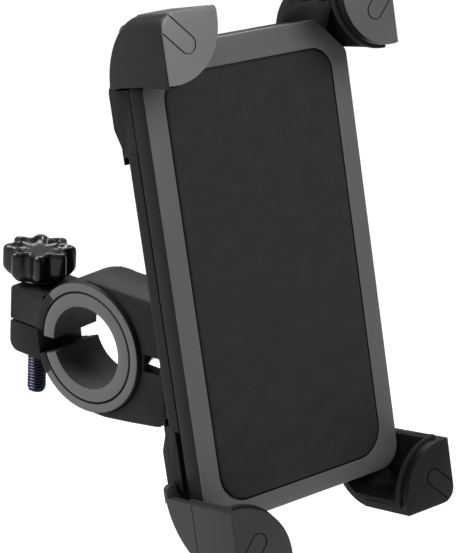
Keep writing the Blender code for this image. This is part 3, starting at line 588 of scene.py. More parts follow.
class Finishes:
    """Every finish of the mount, with lit and shaded copies of the claw and frame plastic that paint light
    and shade, made once and shared.
    """

    def __init__(self) -> None:
        """Name the finishes."""
        self.recipes = {
            # The frame's forward faces take this lighter grey and its sides the dark shell finish: painted
            # light on the front and painted shade on the sides of one plastic.
            "frame": MouldedPlastic("frame_grey", 0.07, 0.44, slot="grey_plastic"),
            # The claw tones are one claw plastic at levels of painted light and shade: lips lighter than
            # walls, lightest at the top left claw, darkest at the bottom right.
            "lip_light": MouldedPlastic("claw_lip_light", 0.115, 0.42, slot="grey_plastic"),
            "lip_mid": MouldedPlastic("claw_lip_mid", 0.06, 0.42, slot="grey_plastic"),
            "lip_low": MouldedPlastic("claw_lip_low", 0.028, 0.44, specular=0.2, slot="grey_plastic"),
            "lip_shade": MouldedPlastic("claw_lip_shade", 0.008, 0.5, specular=0.15, slot="grey_plastic"),
            "wall_dark": MouldedPlastic("claw_wall_dark", 0.01, 0.36, specular=0.1, slot="grey_plastic"),
            "wall_low": MouldedPlastic("claw_wall_low", 0.02, 0.42, specular=0.15, slot="grey_plastic"),
            "wall_shade": MouldedPlastic("claw_wall_shade", 0.005, 0.5, specular=0.12, slot="grey_plastic"),
            "shell": MouldedPlastic("shell_charcoal", 0.008, 0.5, specular=0.05),
            "ring": MouldedPlastic("clamp_face_grey", 0.075, 0.45),
            "clamp": MouldedPlastic("clamp_charcoal", 0.014, 0.5, specular=0.08),
            "pad": PadCloth("pad_cloth", 0.014),
            # On the sleeve this dark rubber shows on the bore and curved faces, where it paints the shade
            # inside the bore.
            "liner": GripRubber("liner_rubber", 0.006),
            "sleeve": GripRubber("sleeve_rubber", 0.02),
            "zinc": PlatedMetal("zinc_plate", (0.62, 0.62, 0.63)),
            "black_bolt": PlatedMetal("blackened_steel", (0.032, 0.035, 0.055), 0.36, "black_steel"),
            "knob": GlossKnobPlastic("knob_black", 0.006),
            "nylon": MouldedPlastic("seat_nylon", 0.5, 0.5, slot="nylon"),
        }
        self.made: dict[str, bpy.types.Material] = {}

    def get(self, name: str) -> bpy.types.Material:
        """Return a finish's material, building it the first time."""
        if name not in self.made:
            self.made[name] = self.recipes[name].make()
        return self.made[name]

    def slot(self, name: str) -> str:
        """Return the record's slot that a finish belongs to."""
        return self.recipes[name].slot


# ---------------------------------------------------------------- workshop


class Workshop:
    """Makes pieces in the scene: names them, dresses them, and ties them to the frame."""

    def __init__(self) -> None:
        """Open the piece collection."""
        self.finishes = Finishes()
        self.group = bpy.data.collections.new("pieces")
        bpy.context.scene.collection.children.link(self.group)

    def add(
        self, name: str, mesh: bpy.types.Mesh, body: str, finish: str, nodes: Sequence[str] = ()
    ) -> bpy.types.Object:
        """Put a mesh in the scene as a piece.

        Args:
            name: the piece's name.
            mesh: its mesh in the row frame.
            body: the body that it rides on.
            finish: its first finish.
            nodes: the CAD nodes that it stands for.

        Returns:
            The new object.
        """
        piece = bpy.data.objects.new(name, mesh)
        self.group.objects.link(piece)
        mesh.materials.append(self.finishes.get(finish))
        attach(piece, body)
        if nodes:
            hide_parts(*nodes)
        self.finishes.slot(finish)
        LOG.info("%s rides on %s with %d faces", name, body, len(mesh.polygons))
        return piece

    def face_finish_and_painted_light(self, piece: bpy.types.Object, finish: str, chosen: np.ndarray) -> None:
        """Give the chosen faces a second finish; the frame, the claws and the sleeve use it for painted light
        and shade on the faces that look one way.
        """
        piece.data.materials.append(self.finishes.get(finish))
        index = np.where(chosen, len(piece.data.materials) - 1, 0).astype(np.int32)
        piece.data.polygons.foreach_set("material_index", index)

    def combine(
        self,
        mesh: bpy.types.Mesh,
        added: Sequence[bpy.types.Mesh] = (),
        removed: Sequence[bpy.types.Mesh] = (),
        sharp: float = 32.0,
    ) -> bpy.types.Mesh:
        """Return a mesh with some shapes fused on and others cut out.

        Args:
            mesh: the stock.
            added: shapes that are fused to it first.
            removed: shapes that are then cut out of it.
            sharp: edges over this angle, in degrees, stay sharp.
        """
        body = bpy.data.objects.new("stock", mesh)
        steps = [(tool, "UNION") for tool in added] + [(tool, "DIFFERENCE") for tool in removed]
        tools = [bpy.data.objects.new(f"tool_{index}", tool) for index, (tool, _) in enumerate(steps)]
        for item in (body, *tools):
            self.group.objects.link(item)
        for tool, (_, operation) in zip(tools, steps):
            step = body.modifiers.new(tool.name, "BOOLEAN")
            step.solver = "EXACT"
            step.operation = operation
            step.object = tool
        bpy.context.view_layer.update()
        evaluated = body.evaluated_get(bpy.context.evaluated_depsgraph_get())
        result = bpy.data.meshes.new_from_object(evaluated)
        for item in (body, *tools):
            bpy.data.objects.remove(item)
        tidy(result, sharp)
        result.materials.clear()
        return result

    def refine(
        self, node: str, name: str, body: str, finish: str, edge: float = 0.3, merge: float = 1.0
    ) -> bpy.types.Object:
        """Make a piece from a copy of a CAD node: flat faces joined, edges rounded, shading smoothed.

        Args:
            node: the CAD node that it copies and stands for.
            name: the piece's name.
            body: the body that it rides on.
            finish: its finish.
            edge: width of the rounded edges.
            merge: faces that meet at less than this angle, in degrees, become one.
        """
        work = bmesh.new()
        work.from_mesh(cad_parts[node].data)
        bmesh.ops.remove_doubles(work, verts=work.verts, dist=2e-6)
        bmesh.ops.dissolve_limit(
            work, angle_limit=math.radians(merge), verts=work.verts, edges=work.edges,
            use_dissolve_boundaries=False,
        )
        mesh = bpy.data.meshes.new(name)
        work.to_mesh(mesh)
        work.free()
        mesh.shade_smooth()
        mesh.set_sharp_from_angle(angle=math.radians(35.0))
        piece = self.add(name, mesh, body, finish, (node,))
        if edge:
            bevel = piece.modifiers.new("Edge", "BEVEL")
            bevel.width = edge * MM
            bevel.segments = 2
            bevel.limit_method = "ANGLE"
            bevel.angle_limit = math.radians(38.0)
            bevel.use_clamp_overlap = True
            bevel.harden_normals = True
        return piece


# ---------------------------------------------------------------- bar clamp


@dataclass
class BarClamp:
    """The C clamp with its rubber sleeve, bolt, nut and knob."""

    shop: Workshop
    bore: float = 12.7
    sleeve: float = 17.1
    shell: float = 17.4
    ring: float = 20.4
    half: float = 9.7
    arm_half: float = 8.1
    ear_back: float = 31.2
    ear_top: float = 11.6
    ear_bottom: float = -9.8
    ear_start: float = 14.5
    slit: float = 0.45
    bolt_y: float = 28.3
    lobes: int = 8
    place: Placement = Placement()

    def build(self) -> None:
        """Make every piece of the clamp."""
        self.body()
        self.rubber()
        self.bolt()
        self.knob()

    def section(self, inner: float, outer: float, edge: float) -> np.ndarray:
        """Return the ring's section in X and radius: a rectangle whose corners are rounded by edge."""
        half, mouth = self.half, edge * 0.6
        corners = [(half, inner, mouth), (half, outer, edge), (-half, outer, edge), (-half, inner, mouth)]
        return rounded(corners, 22.0)

    def ears(self) -> list[bpy.types.Mesh]:
        """Return the two ears, each a plate that starts inside the ring's wall and is as wide as the ring."""
        back, start, half = self.ear_back, 17.6, self.half - 0.04
        top, bottom, slit = self.ear_top, self.ear_bottom, self.slit
        upper = [(back, slit, 0.5), (back, top, 1.6), (start, top, 0.0), (start, slit, 0.0)]
        lower = [(start + 0.6, bottom, 0.0), (back, bottom, 3.6), (back, -0.05, 0.5), (19.6, -0.05, 0.3)]
        lower += [(18.3, -7.4, 0.0)]
        result = []
        for name, corners in (("upper_ear", upper), ("lower_ear", lower)):
            skin = Skin()
            skin.plate(rounded(corners), -half, half, Plane.YZ, 0.5)
            result.append(skin.mesh(name, self.place))
        return result

    def arm_rows(self) -> np.ndarray:
        """Return the arm as sections carried round the bore.

        Each ray from the bore's centre meets the arm's outline at P. Its section is a rectangle between
        the ring's surface and P, with its outer corners rounded, so a point is P (1 - inset / |P|) outside
        and radius P / |P| inside.
        """
        corners = [(2.0, 21.2, 0.0), (-24.0, 21.2, 7.0), (-30.0, 14.0, 6.0), (-30.0, -17.0, 3.5)]
        corners += [(-17.6, -19.4, 14.0), (-7.0, -21.2, 14.0), (2.0, -21.3, 0.0)]
        edge = rounded(corners, 4.0)
        steps = [np.linspace(a, b, 5)[:-1] for a, b in zip(edge[:-1], edge[1:])]
        edge = np.concatenate([*steps, edge[-1:]])
        length = np.linalg.norm(edge, axis=1, keepdims=True)
        wide, deep, loose, tight = self.arm_half, 6.0, self.ring + 0.4, 19.0
        outer = [(-wide, 0.7), (0.2 - wide, 0.25), (0.7 - wide, 0.0)]
        outer += [(wide - 0.7, 0.0), (wide - 0.2, 0.25), (wide, 0.7)]
        inner = [(wide, loose), (deep, loose), (deep, tight), (-deep, tight), (-deep, loose), (-wide, loose)]
        columns = [lift(edge * (1.0 - step / length), across, Plane.YZ) for across, step in outer]
        for across, radius in inner:
            columns.append(lift(edge * np.minimum(radius / length, 0.985), across, Plane.YZ))
        return np.stack(columns, axis=1)

    def body(self) -> None:
        """Make the ring with its ears, and the narrower arm with the stud nut's pocket and side windows."""
        high_end = math.degrees(math.asin(self.slit / self.shell))
        ring = arc_sweep(self.section(self.shell, self.ring, 0.5), high_end, 338.0, 130)
        hole = aim(lathe_rows([(3.4, -30.0), (3.4, 30.0)], 40), (0.0, self.bolt_y, 0.0), "Z")
        hexagon = circle(10.6 / math.sqrt(3.0), 6, (0.0, self.bolt_y))
        pocket = stack([(hexagon, -11.0), (hexagon, -4.5)], Plane.XY)
        removed = [solid("hole", hole, self.place), solid("pocket", pocket, self.place)]
        mesh = self.shop.combine(solid("clamp_ring", ring, self.place, 40.0), self.ears(), removed, 40.0)
        piece = self.shop.add("clamp_ring", mesh, "clamp", "clamp", ("clamp_body",))
        self.paint_sides(piece)
        removed = []
        front, back = -27.5, -21.5
        for low, high, turn, reach in ((-26.0, 7.45, 0.0, 7.2), (-1.2, 4.4, 0.5, 12.0)):
            box = rounded([(front, low, turn), (back, low, turn), (back, high, turn), (front, high, turn)])
            removed.append(solid("window", stack([(box, -reach), (box, reach)], Plane.YZ), self.place))
        bore = aim(lathe_rows([(2.7, -36.0), (2.7, -21.5)], 32), (0.0, 0.0, 1.2), "Y")
        removed.append(solid("bore", bore, self.place))
        mesh = self.shop.combine(solid("clamp_arm", self.arm_rows(), self.place, 40.0), (), removed, 40.0)
        self.shop.add("clamp_arm", mesh, "clamp", "clamp")

    def paint_sides(self, piece: bpy.types.Object) -> None:
        """Give the ring's two flat sides, but not the ears, the lighter satin face."""
        centres = np.zeros(len(piece.data.polygons) * 3)
        piece.data.polygons.foreach_get("center", centres)
        along, upward = centres.reshape(-1, 3)[:, 1:].T
        flat = np.abs(normals_of(piece.data)[:, 0]) > 0.9
        ear = (np.hypot(along, upward) > (self.sleeve + 0.1) * MM) & (along > self.ear_start * MM)
        self.shop.face_finish_and_painted_light(piece, "ring", flat & ~ear)

    def rubber(self) -> None:
        """Make the sleeve: a C of rubber with chamfered mouths, its ends cut either side of the slit."""
        rows = arc_sweep(self.section(self.bore, self.sleeve, 0.45), -3.5, 337.5, 130)
        mesh = solid("bar_sleeve_rubber", rows, self.place, 40.0)
        piece = self.shop.add("bar_sleeve_rubber", mesh, "clamp", "sleeve", ("bar_sleeve",))
        # The flat sides take the lighter face grey and the bore keeps the dark rubber: painted shade inside
        # the bore.
        self.paint_sides(piece)

    def bolt(self) -> None:
        """Make the threaded bolt, its washer and its captive nut.

        The thread's radius falls by a trapezoid wave of height minus turn, with a pitch of one.
        """
        tip, turns, fine = -26.0, 16.0, 14
        height = np.linspace(tip, tip + turns, int(turns) * fine + 1)[:, None]
        angles = np.linspace(0.0, TAU, 48, endpoint=False)
        phase = (height - angles[None, :] / TAU) % 1.0
        groove = 0.5 * np.clip(1.25 - 2.5 * np.abs(phase - 0.5), 0.0, 1.0)
        fade = np.clip((height - tip) / 1.2, 0.0, 1.0)
        radius = 2.98 - groove - 0.5 * (1.0 - fade)
        thread = polar(radius, angles, height * np.ones_like(radius))
        shank = lathe_rows([(2.5, -10.0), (2.9, -9.6), (2.9, 13.2)], 48)
        centre = (0.0, self.bolt_y, 0.0)
        mesh = solid("bolt_shank", aim(np.concatenate([thread, shank]), centre, "Z"), self.place, 60.0)
        self.shop.add("bolt_shank", mesh, "knob", "black_bolt", ("clamp_bolt",))
        washer = densify([(3.35, 11.9), (6.2, 11.9), (6.2, 12.5), (3.35, 12.5)], 0.12)
        mesh = solid("washer_ring", aim(lathe_rows(washer, 64), centre, "Z"), self.place, ring=True)
        self.shop.add("washer_ring", mesh, "knob_washer_body", "zinc", ("knob_washer",))
        rows = nut_rows(10.0, 3.3, self.ear_bottom + 0.2, self.ear_bottom + 5.0, 0.5, Plane.XY)
        mesh = solid("captive_nut", rows + np.array(centre), self.place, ring=True)
        self.shop.add("captive_nut", mesh, "clamp", "zinc", ("clamp_nut",))

    def knob(self) -> None:
        """Make the lobed knob: a turned profile, dished on top, whose radius falls between the lobes.

        At an angle a it falls by depth (1 - (0.5 + 0.5 cos(lobes a + phase)) ^ 1.1).
        """
        outside = [(0.0, 12.8, 0.0), (7.6, 12.8, 1.0), (8.8, 12.95, 1.6), (9.8, 13.7, 2.2), (10.8, 14.9, 2.7)]
        outside += [(11.1, 15.6, 2.9), (11.2, 16.4, 2.9), (11.2, 20.6, 2.9), (11.1, 21.5, 2.9)]
        top = [(10.8, 22.1, 2.85), (10.2, 22.5, 2.8), (9.5, 22.6, 2.7), (8.9, 22.35, 2.6), (8.2, 21.7, 2.3)]
        top += [(7.4, 21.35, 1.8), (5.0, 21.1, 0.6), (2.5, 21.0, 0.0), (0.0, 21.0, 0.0)]
        profile, depth = np.split(np.array(outside + top), [2], axis=1)
        count, phase = 256, 0.5
        angles = np.linspace(0.0, TAU, count, endpoint=False)
        swell = (0.5 + 0.5 * np.cos(self.lobes * angles + phase)) ** 1.1
        ripple = -depth * (1.0 - swell[None, :])
        rows = aim(lathe_rows(profile, count, ripple), (0.0, self.bolt_y, 0.0), "Z")
        mesh = solid("star_grip", rows, self.place, 50.0)
        self.shop.add("star_grip", mesh, "knob", "knob", ("star_knob",))


# ---------------------------------------------------------------- ball joint


@dataclass
class BallJoint:
    """The ball stud, its nut, and the socket parts on the back of the head."""

    shop: Workshop
    head: Placement
    ball: tuple[float, float, float] = (0.0, -46.9, 1.2)
    centre: tuple[float, float, float] = (0.0, 30.0, -34.9)
    radius: float = 8.5
    seat: tuple[float, float] = (8.8, 9.9)
    cup: float = 10.2
    cup_end: float = 96.0

    def build(self) -> None:
        """Make every piece of the joint."""
        self.stud()
        self.socket()
        self.ring_nut()
        self.seats()

    def sphere(self, radius: float, low: float, high: float, count: int) -> list[tuple[float, float]]:
        """Return (radius, height) points on a sphere about the ball, between two angles in degrees."""
        angles = np.radians(np.linspace(low, high, count))
        return [(radius * math.sin(a), -radius * math.cos(a)) for a in angles]

    def stud(self) -> None:
        """Make the ball, neck and collar: a circle's arc from the pole, then the neck's fillet."""
        neck = math.asin(3.6 / self.radius)
        angles = np.linspace(math.pi, neck, 40)
        profile = [(self.radius * math.sin(a), self.radius * math.cos(a)) for a in angles]
        profile += [(3.6, 9.5), (3.65, 11.0), (3.9, 12.0), (4.6, 12.9), (5.8, 13.6), (6.3, 14.2), (6.4, 14.8)]
        profile += [(6.4, 16.3), (6.1, 16.6), (2.3, 16.6), (2.3, 24.6), (1.9, 24.9), (0.0, 24.9)]
        mesh = solid("ball_pin", aim(lathe_rows(profile, 96), self.ball, "Y"), Placement(), 40.0)
        self.shop.add("ball_pin", mesh, "clamp", "zinc", ("ball_stud",))
        rows = nut_rows(12.0, 2.6, -27.2, -21.8, 0.35, Plane.XZ) + np.array([0.0, 0.0, self.ball[2]])
        mesh = solid("pin_nut", rows, Placement(), ring=True)
        self.shop.add("pin_nut", mesh, "clamp", "zinc", ("stud_nut",))

    def socket(self) -> None:
        """Make the socket: a spherical cup in a round boss on a screwed flange."""
        profile = self.sphere(self.cup, 0.0, self.cup_end, 30)
        rim = profile[-1][1]
        base = 17.3 - self.centre[1]
        outside = [(11.0, rim), (12.0, rim - 0.6), (12.0, base + 3.6), (12.4, base + 2.8), (13.2, base + 2.4)]
        outside += [(17.3, base + 2.4), (17.8, base + 1.9), (17.8, base), (0.0, base)]
        rows = aim(lathe_rows(profile + outside, 96), self.centre, "Y")
        drill = lathe_rows([(1.5, base - 1.0), (1.5, base + 4.0)], 24)
        holes = [
            solid("hole", aim(drill, (x, self.centre[1], z), "Y"), self.head) for x, z in self.screw_spots()
        ]
        mesh = self.shop.combine(solid("ball_cup", rows, self.head, 35.0), (), holes, 35.0)
        self.shop.add("ball_cup", mesh, "head", "shell", ("ball_socket",))
        for index, (x, z) in enumerate(self.screw_spots()):
            name = f"socket_screw_{index + 1}"
            spot = (x, self.centre[1], z)
            self.screw(f"flange_{name}", spot, base + 2.7, 2.2, 1.3, -16.0, 1.2, name, "head")

    def screw_spots(self) -> list[tuple[float, float]]:
        """Return the flange screws' places in X and Z."""
        turns = [math.radians(90.0 + 120.0 * index) for index in range(3)]
        return [(14.9 * math.cos(turn), self.centre[2] + 14.9 * math.sin(turn)) for turn in turns]

    def screw(
        self, name: str, spot: Sequence[float], seat: float, head: float, rise: float, tip: float,
        shank: float, node: str, body: str,
    ) -> None:
        """Make a domed screw with a hexagon recess, along the head's depth axis.

        Args:
            name: the piece's name.
            spot: a point on its axis.
            seat: height of the underside of its head.
            head: radius of its head.
            rise: height of its head; negative when it points towards the phone.
            tip: height of its far end.
            shank: radius of its shank.
            node: the CAD node it stands for.
            body: the body it rides on.
        """
        key = head * 0.5
        sign = 1.0 if rise > 0.0 else -1.0
        top = seat + rise
        angles = np.linspace(0.0, TAU, 36, endpoint=False)
        hexed = key * math.cos(math.pi / 6) / np.cos((angles + math.pi / 6) % (math.pi / 3) - math.pi / 6)
        plain = [(0.0, tip), (shank * 0.7, tip), (shank, tip + sign * 0.4), (shank, seat)]
        plain += [(head * 0.96, seat), (head, seat + 0.25 * rise), (head * 0.94, seat + 0.65 * rise)]
        plain += [(head * 0.75, top - 0.06 * rise), (key + 0.25, top)]
        rows = lathe_rows(plain, 36)
        depth = top - 0.6 * rise
        levels = [np.full_like(angles, level) for level in (top - 0.05 * sign, depth, depth)]
        scales = (1.0, 1.0, 0.01)
        recess = np.stack([polar(hexed * scale, angles, level) for level, scale in zip(levels, scales)])
        mesh = solid(name, aim(np.concatenate([rows, recess]), spot, "Y"), self.head, 35.0)
        self.shop.add(name, mesh, body, "zinc", (node,))

    def ring_nut(self) -> None:
        """Make the grip ring: turned, with ten notches outside and a lip that follows the ball."""
        lip = self.sphere(self.cup, 98.5, 113.0, 8)
        edge, top = lip[-1]
        rim = -self.cup * math.cos(math.radians(self.cup_end))
        profile = [(12.3, -7.0), (12.3, rim + 0.3), (lip[0][0], rim + 0.3), *lip, (edge + 0.6, top + 0.5)]
        start = len(profile)
        profile += [(12.6, top + 0.5), (13.6, top + 0.3), (14.7, top - 0.3), (15.6, top - 1.0)]
        profile += [(16.0, top - 1.9), (16.0, 0.0), (16.0, -5.4), (15.8, -6.4), (15.1, -7.0)]
        angles = np.linspace(0.0, TAU, 240, endpoint=False)
        notch = np.clip((np.cos(10.0 * angles) - 0.55) / 0.45, 0.0, 1.0) ** 0.6
        depth = np.zeros(len(profile))
        depth[start:] = [0.0, 0.3, 0.8, 1.15, 1.25, 1.25, 1.25, 1.1, 0.7]
        rows = aim(lathe_rows(profile, 240, -depth[:, None] * notch[None, :]), self.centre, "Y")
        mesh = solid("grip_ring", rows, self.head, 45.0, ring=True)
        self.shop.add("grip_ring", mesh, "ring_nut_body", "shell", ("ring_nut",))

    def seats(self) -> None:
        """Make the two nylon seats: shells between two spheres."""
        for name, node, body, low, high in (
            ("front_cup_liner", "front_ball_seat", "seat_front", 12.0, 41.0),
            ("rear_cup_liner", "rear_ball_seat", "seat_rear", 84.0, 103.0),
        ):
            inner, outer = (self.sphere(radius, low, high, 24) for radius in self.seat)
            rows = aim(lathe_rows(outer + inner[::-1], 96), self.centre, "Y")
            self.shop.add(name, solid(name, rows, self.head, ring=True), body, "nylon", (node,))


# ---------------------------------------------------------------- head body


@dataclass
class PhoneHead:
    """The head's front frame with its pad, and the shell and works behind it."""

    shop: Workshop
    place: Placement
    half_width: float = 34.65
    half_length: float = 65.0
    rim: float = 7.0
    edge: float = 0.7
    wall: float = 2.2
    pad_half: float = 28.2
    pad_top: float = 57.0
    pad_bottom: float = -59.3

    def build(self) -> None:
        """Make every piece of the head."""
        self.front()
        self.pad()
        self.shop.refine("back_shell", "rear_cover", "head", "shell", 0.35)
        self.shop.refine("chassis_plate", "inner_chassis", "head", "zinc", 0.15)
        self.shop.refine("gear_pivot", "pinion_pin", "gear", "zinc", 0.15)
        self.shop.refine("sync_gear", "link_pinion", "gear", "zinc", 0.08)
        self.shop.refine("release_slider", "lock_slider", "release", "zinc", 0.15)
        self.button()

    def outline(self, step: float) -> np.ndarray:
        """Return the frame's outline, moved inwards by a step, as even rays meet it."""
        x, z = self.half_width - step, self.half_length - step
        cut = 9.5 - step * 0.4
        corners = [(x, z - cut, 3.2), (x, -z, 7.0 - step), (-x, -z, 7.0 - step), (-x, z - cut, 3.2)]
        corners += [(-x + cut, z, 3.2), (x - cut, z, 3.2)]
        return by_angle(rounded(corners[::-1], 4.0), 720)

    def pad_outline(self, grow: float) -> np.ndarray:
        """Return the pad's outline, grown by a step, as even rays meet it."""
        x = self.pad_half + grow
        top, bottom = self.pad_top + grow, self.pad_bottom - grow
        lower, upper = 8.0 + grow, 6.5 + grow
        corners = [(x, bottom, lower), (x, top, upper), (-x, top, upper), (-x, bottom, lower)]
        return by_angle(rounded(corners, 4.0), 720)

    def front(self) -> None:
        """Make the frame as one surface: the pad's recess, the face, the rim and the hollow behind."""
        rows = [(self.pad_outline(-6.0), 1.1), (self.pad_outline(0.3), 1.1), (self.pad_outline(0.3), 0.3)]
        rows += [(self.pad_outline(0.4), 0.08), (self.pad_outline(0.65), 0.0), (self.outline(self.edge), 0.0)]
        edge = self.edge
        turns = np.radians([22.5, 45.0, 67.5, 90.0])
        rows += [(self.outline(edge * (1.0 - math.sin(a))), edge * (1.0 - math.cos(a))) for a in turns]
        ends = [(0.0, self.rim - 0.4), (0.12, self.rim - 0.1), (0.4, self.rim)]
        ends += [(self.wall, self.rim), (self.wall, 2.6), (12.0, 2.6)]
        rows += [(self.outline(step), depth) for step, depth in ends]
        mesh = solid("face_frame", stack(rows, Plane.XZ), self.place, 30.0)
        piece = self.shop.add("face_frame", mesh, "head", "shell", ("front_frame",))
        # Forward faces take the lighter frame grey and the sides keep the dark shell finish: painted light on
        # the front and painted shade on the sides.
        forward = normals_of(mesh) @ np.array(self.place.turn)[:, 1]
        self.shop.face_finish_and_painted_light(piece, "frame", forward < -0.45)

    def pad(self) -> None:
        """Make the pad, with its own flat map in millimetres for the cloth pattern."""
        steps = [(-4.0, -0.38), (-0.9, -0.35), (-0.35, -0.2), (-0.05, 0.1), (0.0, 0.4), (0.0, 0.8)]
        rows = stack([(self.pad_outline(grow), depth) for grow, depth in steps], Plane.XZ)
        mesh = solid("phone_pad_face", rows, self.place, 60.0)
        self.flat_map(mesh)
        self.shop.add("phone_pad_face", mesh, "head", "pad", ("front_pad",))

    def flat_map(self, mesh: bpy.types.Mesh) -> None:
        """Store each corner's place across and along the plate, in millimetres, as a map."""
        points = np.zeros(len(mesh.vertices) * 3)
        mesh.vertices.foreach_get("co", points)
        local = (points.reshape(-1, 3) / MM - np.array(self.place.origin)) @ np.array(self.place.turn)
        corner = np.zeros(len(mesh.loops), dtype=np.int32)
        mesh.loops.foreach_get("vertex_index", corner)
        layer = mesh.uv_layers.new(name="plate")
        layer.data.foreach_set("uv", local[corner][:, (0, 2)].ravel())

    def button(self) -> None:
        """Make the release button with three finger ridges."""
        skin = Skin()
        tab = rounded([(23.8, 8.4, 0.3), (36.4, 8.4, 0.9), (36.4, 11.2, 0.9), (23.8, 11.2, 0.3)])
        skin.plate(tab, -6.4, 6.4, Plane.XY, 0.8)
        for centre in (-3.2, 0.0, 3.2):
            ridge = rounded([(36.0, 8.9, 0.2), (36.6, 9.1, 0.25), (36.6, 10.5, 0.25), (36.0, 10.7, 0.2)])
            skin.plate(ridge, centre - 0.55, centre + 0.55, Plane.XY, 0.2)
        self.shop.add("push_tab", skin.mesh("push_tab", self.place), "release", "shell", ("release_button",))


# ---------------------------------------------------------------- claws


class Corner(Enum):
    """The four corners of the head, with the signs of their X and Z."""

    TL = (-1, 1)
    TR = (1, 1)
    BL = (-1, -1)
    BR = (1, -1)


@dataclass
class CornerClaw:
    """One corner claw: a cup with a quarter-round lip, its rubber liner, its sliding arm and its screw."""

    shop: Workshop
    place: Placement
    corner: Corner
    x: float = 38.6
    z: float = 74.2
    front: float = -17.8
    back: float = 13.6
    wall: float = 2.0
    lip: float = 3.0
    round_off: float = 4.5
    end_round: tuple[float, float] = (14.0, 20.0)
    lip_centre: tuple[float, float] = (36.0, 71.0)
    lip_radius: float = 15.2

    @property
    def finishes(self) -> dict[Corner, tuple[str, str]]:
        """The lip's and the walls' painted tone at each corner: one claw plastic, lips lighter than walls and
        the top left claw lightest, as painted light and shade.
        """
        return {
            Corner.TL: ("lip_light", "wall_dark"),
            Corner.TR: ("lip_mid", "wall_dark"),
            Corner.BL: ("lip_low", "wall_low"),
            Corner.BR: ("lip_shade", "wall_shade"),
        }

    @property
    def tag(self) -> str:
        """The corner's name in the frame."""
        return self.corner.name.lower()

    @property
    def body(self) -> str:
        """The body that the claw rides on."""
        return f"claw_{self.tag}_body"

    def build(self) -> None:
        """Make the claw's pieces."""
        self.shell()
        self.liner()
        self.shop.refine(f"slide_arm_{self.tag}", f"rack_arm_{self.tag}", self.body, "zinc", 0.12)
        self.shop.refine(f"claw_screw_{self.tag}", f"arm_screw_{self.tag}", self.body, "zinc", 0.1, 0.5)

    @property
    def side_round(self) -> float:
        """The rounding of the side wall's back edge, which is almost sharp on the two lower claws."""
        return 6.0 if self.corner.value[1] > 0 else 1.2

    def back_depth(self, flat: np.ndarray, step: float) -> np.ndarray:
        """Return the depth of the cup's back over flat points, at a step inside its outer surface.

        Both back edges are rounded: past the start of a rounding of radius r, at a distance u, the depth
        falls by r - sqrt(r^2 - u^2), and the two falls are added. The end wall's radius grows towards the
        side wall.
        """
        near, far = self.end_round
        share = np.clip((flat[:, 0] - 24.0) / 14.0, 0.0, 1.0)
        end = near + (far - near) * share * share * (3.0 - 2.0 * share) - step
        over = np.clip(flat[:, 1] - (self.z - step - end), 0.0, end * 0.985)
        fall = end - np.sqrt(end**2 - over**2)
        side = max(self.side_round - step, 0.6)
        over = np.clip(flat[:, 0] - (self.x - step - side), 0.0, side * 0.95)
        return self.back - step - fall - (side - np.sqrt(side**2 - over**2))

    def mirror(self, rows: np.ndarray) -> np.ndarray:
        """Turn a surface drawn for the top right corner to this claw's corner."""
        return rows * np.array([self.corner.value[0], 1.0, self.corner.value[1]])

    def path(self, step: float) -> tuple[np.ndarray, np.ndarray, np.ndarray]:
        """Return the walls' outer line moved inwards by a step, its inward normals and its length fractions.

        The line goes up the side wall, round the corner's arc and along the end wall.
        """
        reach = self.lip_radius
        low = self.lip_centre[1] - math.sqrt(reach**2 - (self.x - self.lip_centre[0]) ** 2)
        left = self.lip_centre[0] - math.sqrt(reach**2 - (self.z - self.lip_centre[1]) ** 2)
        turn = self.round_off
        side = np.stack([np.full(14, self.x), np.linspace(low, self.z - turn, 14)], axis=1)
        bend = arc((self.x - turn, self.z - turn), turn, 0.0, 90.0, 15)[1:-1]
        end = np.stack([np.linspace(self.x - turn, left, 14), np.full(14, self.z)], axis=1)
        line = np.concatenate([side, bend, end])
        inward = (np.array([self.x - turn, self.z - turn]) - bend) / turn
        normals = np.concatenate([np.tile([-1.0, 0.0], (14, 1)), inward, np.tile([0.0, -1.0], (14, 1))])
        length = np.concatenate([[0.0], np.cumsum(np.linalg.norm(np.diff(line, axis=0), axis=1))])
        return line + normals * step, normals, length / length[-1]

    def lip_line(self, grow: float, step: float, fraction: np.ndarray) -> np.ndarray:
        """Return the lip's free edge, an arc, at the same fractions as the walls' line."""
        reach = self.lip_radius + grow
        side, top = self.x - step - self.lip_centre[0], self.z - step - self.lip_centre[1]
        start = math.atan2(-math.sqrt(reach**2 - side**2), side)
        end = math.atan2(top, -math.sqrt(reach**2 - top**2)) - TAU
        angles = start + (end - start) * fraction
        return np.array(self.lip_centre) + reach * np.stack([np.cos(angles), np.sin(angles)], axis=1)

    def shell(self) -> None:
        """Make the cup: at each step of the walls' line, a closed section of lip, wall and rounded floor."""
        line, normals, fraction = self.path(0.0)
        lip = self.lip_line(0.0, self.wall, fraction)
        floor = np.stack([31.0 - 10.0 * fraction, 55.7 + 5.5 * np.minimum(fraction * 2.2, 1.0)], axis=1)
        lipward = lip - line
        lipward /= np.linalg.norm(lipward, axis=1, keepdims=True)
        rows = []

        def add(flat: np.ndarray, depth: float | np.ndarray) -> None:
            """Keep one line of the section."""
            rows.append(lift(flat, depth, Plane.XZ))

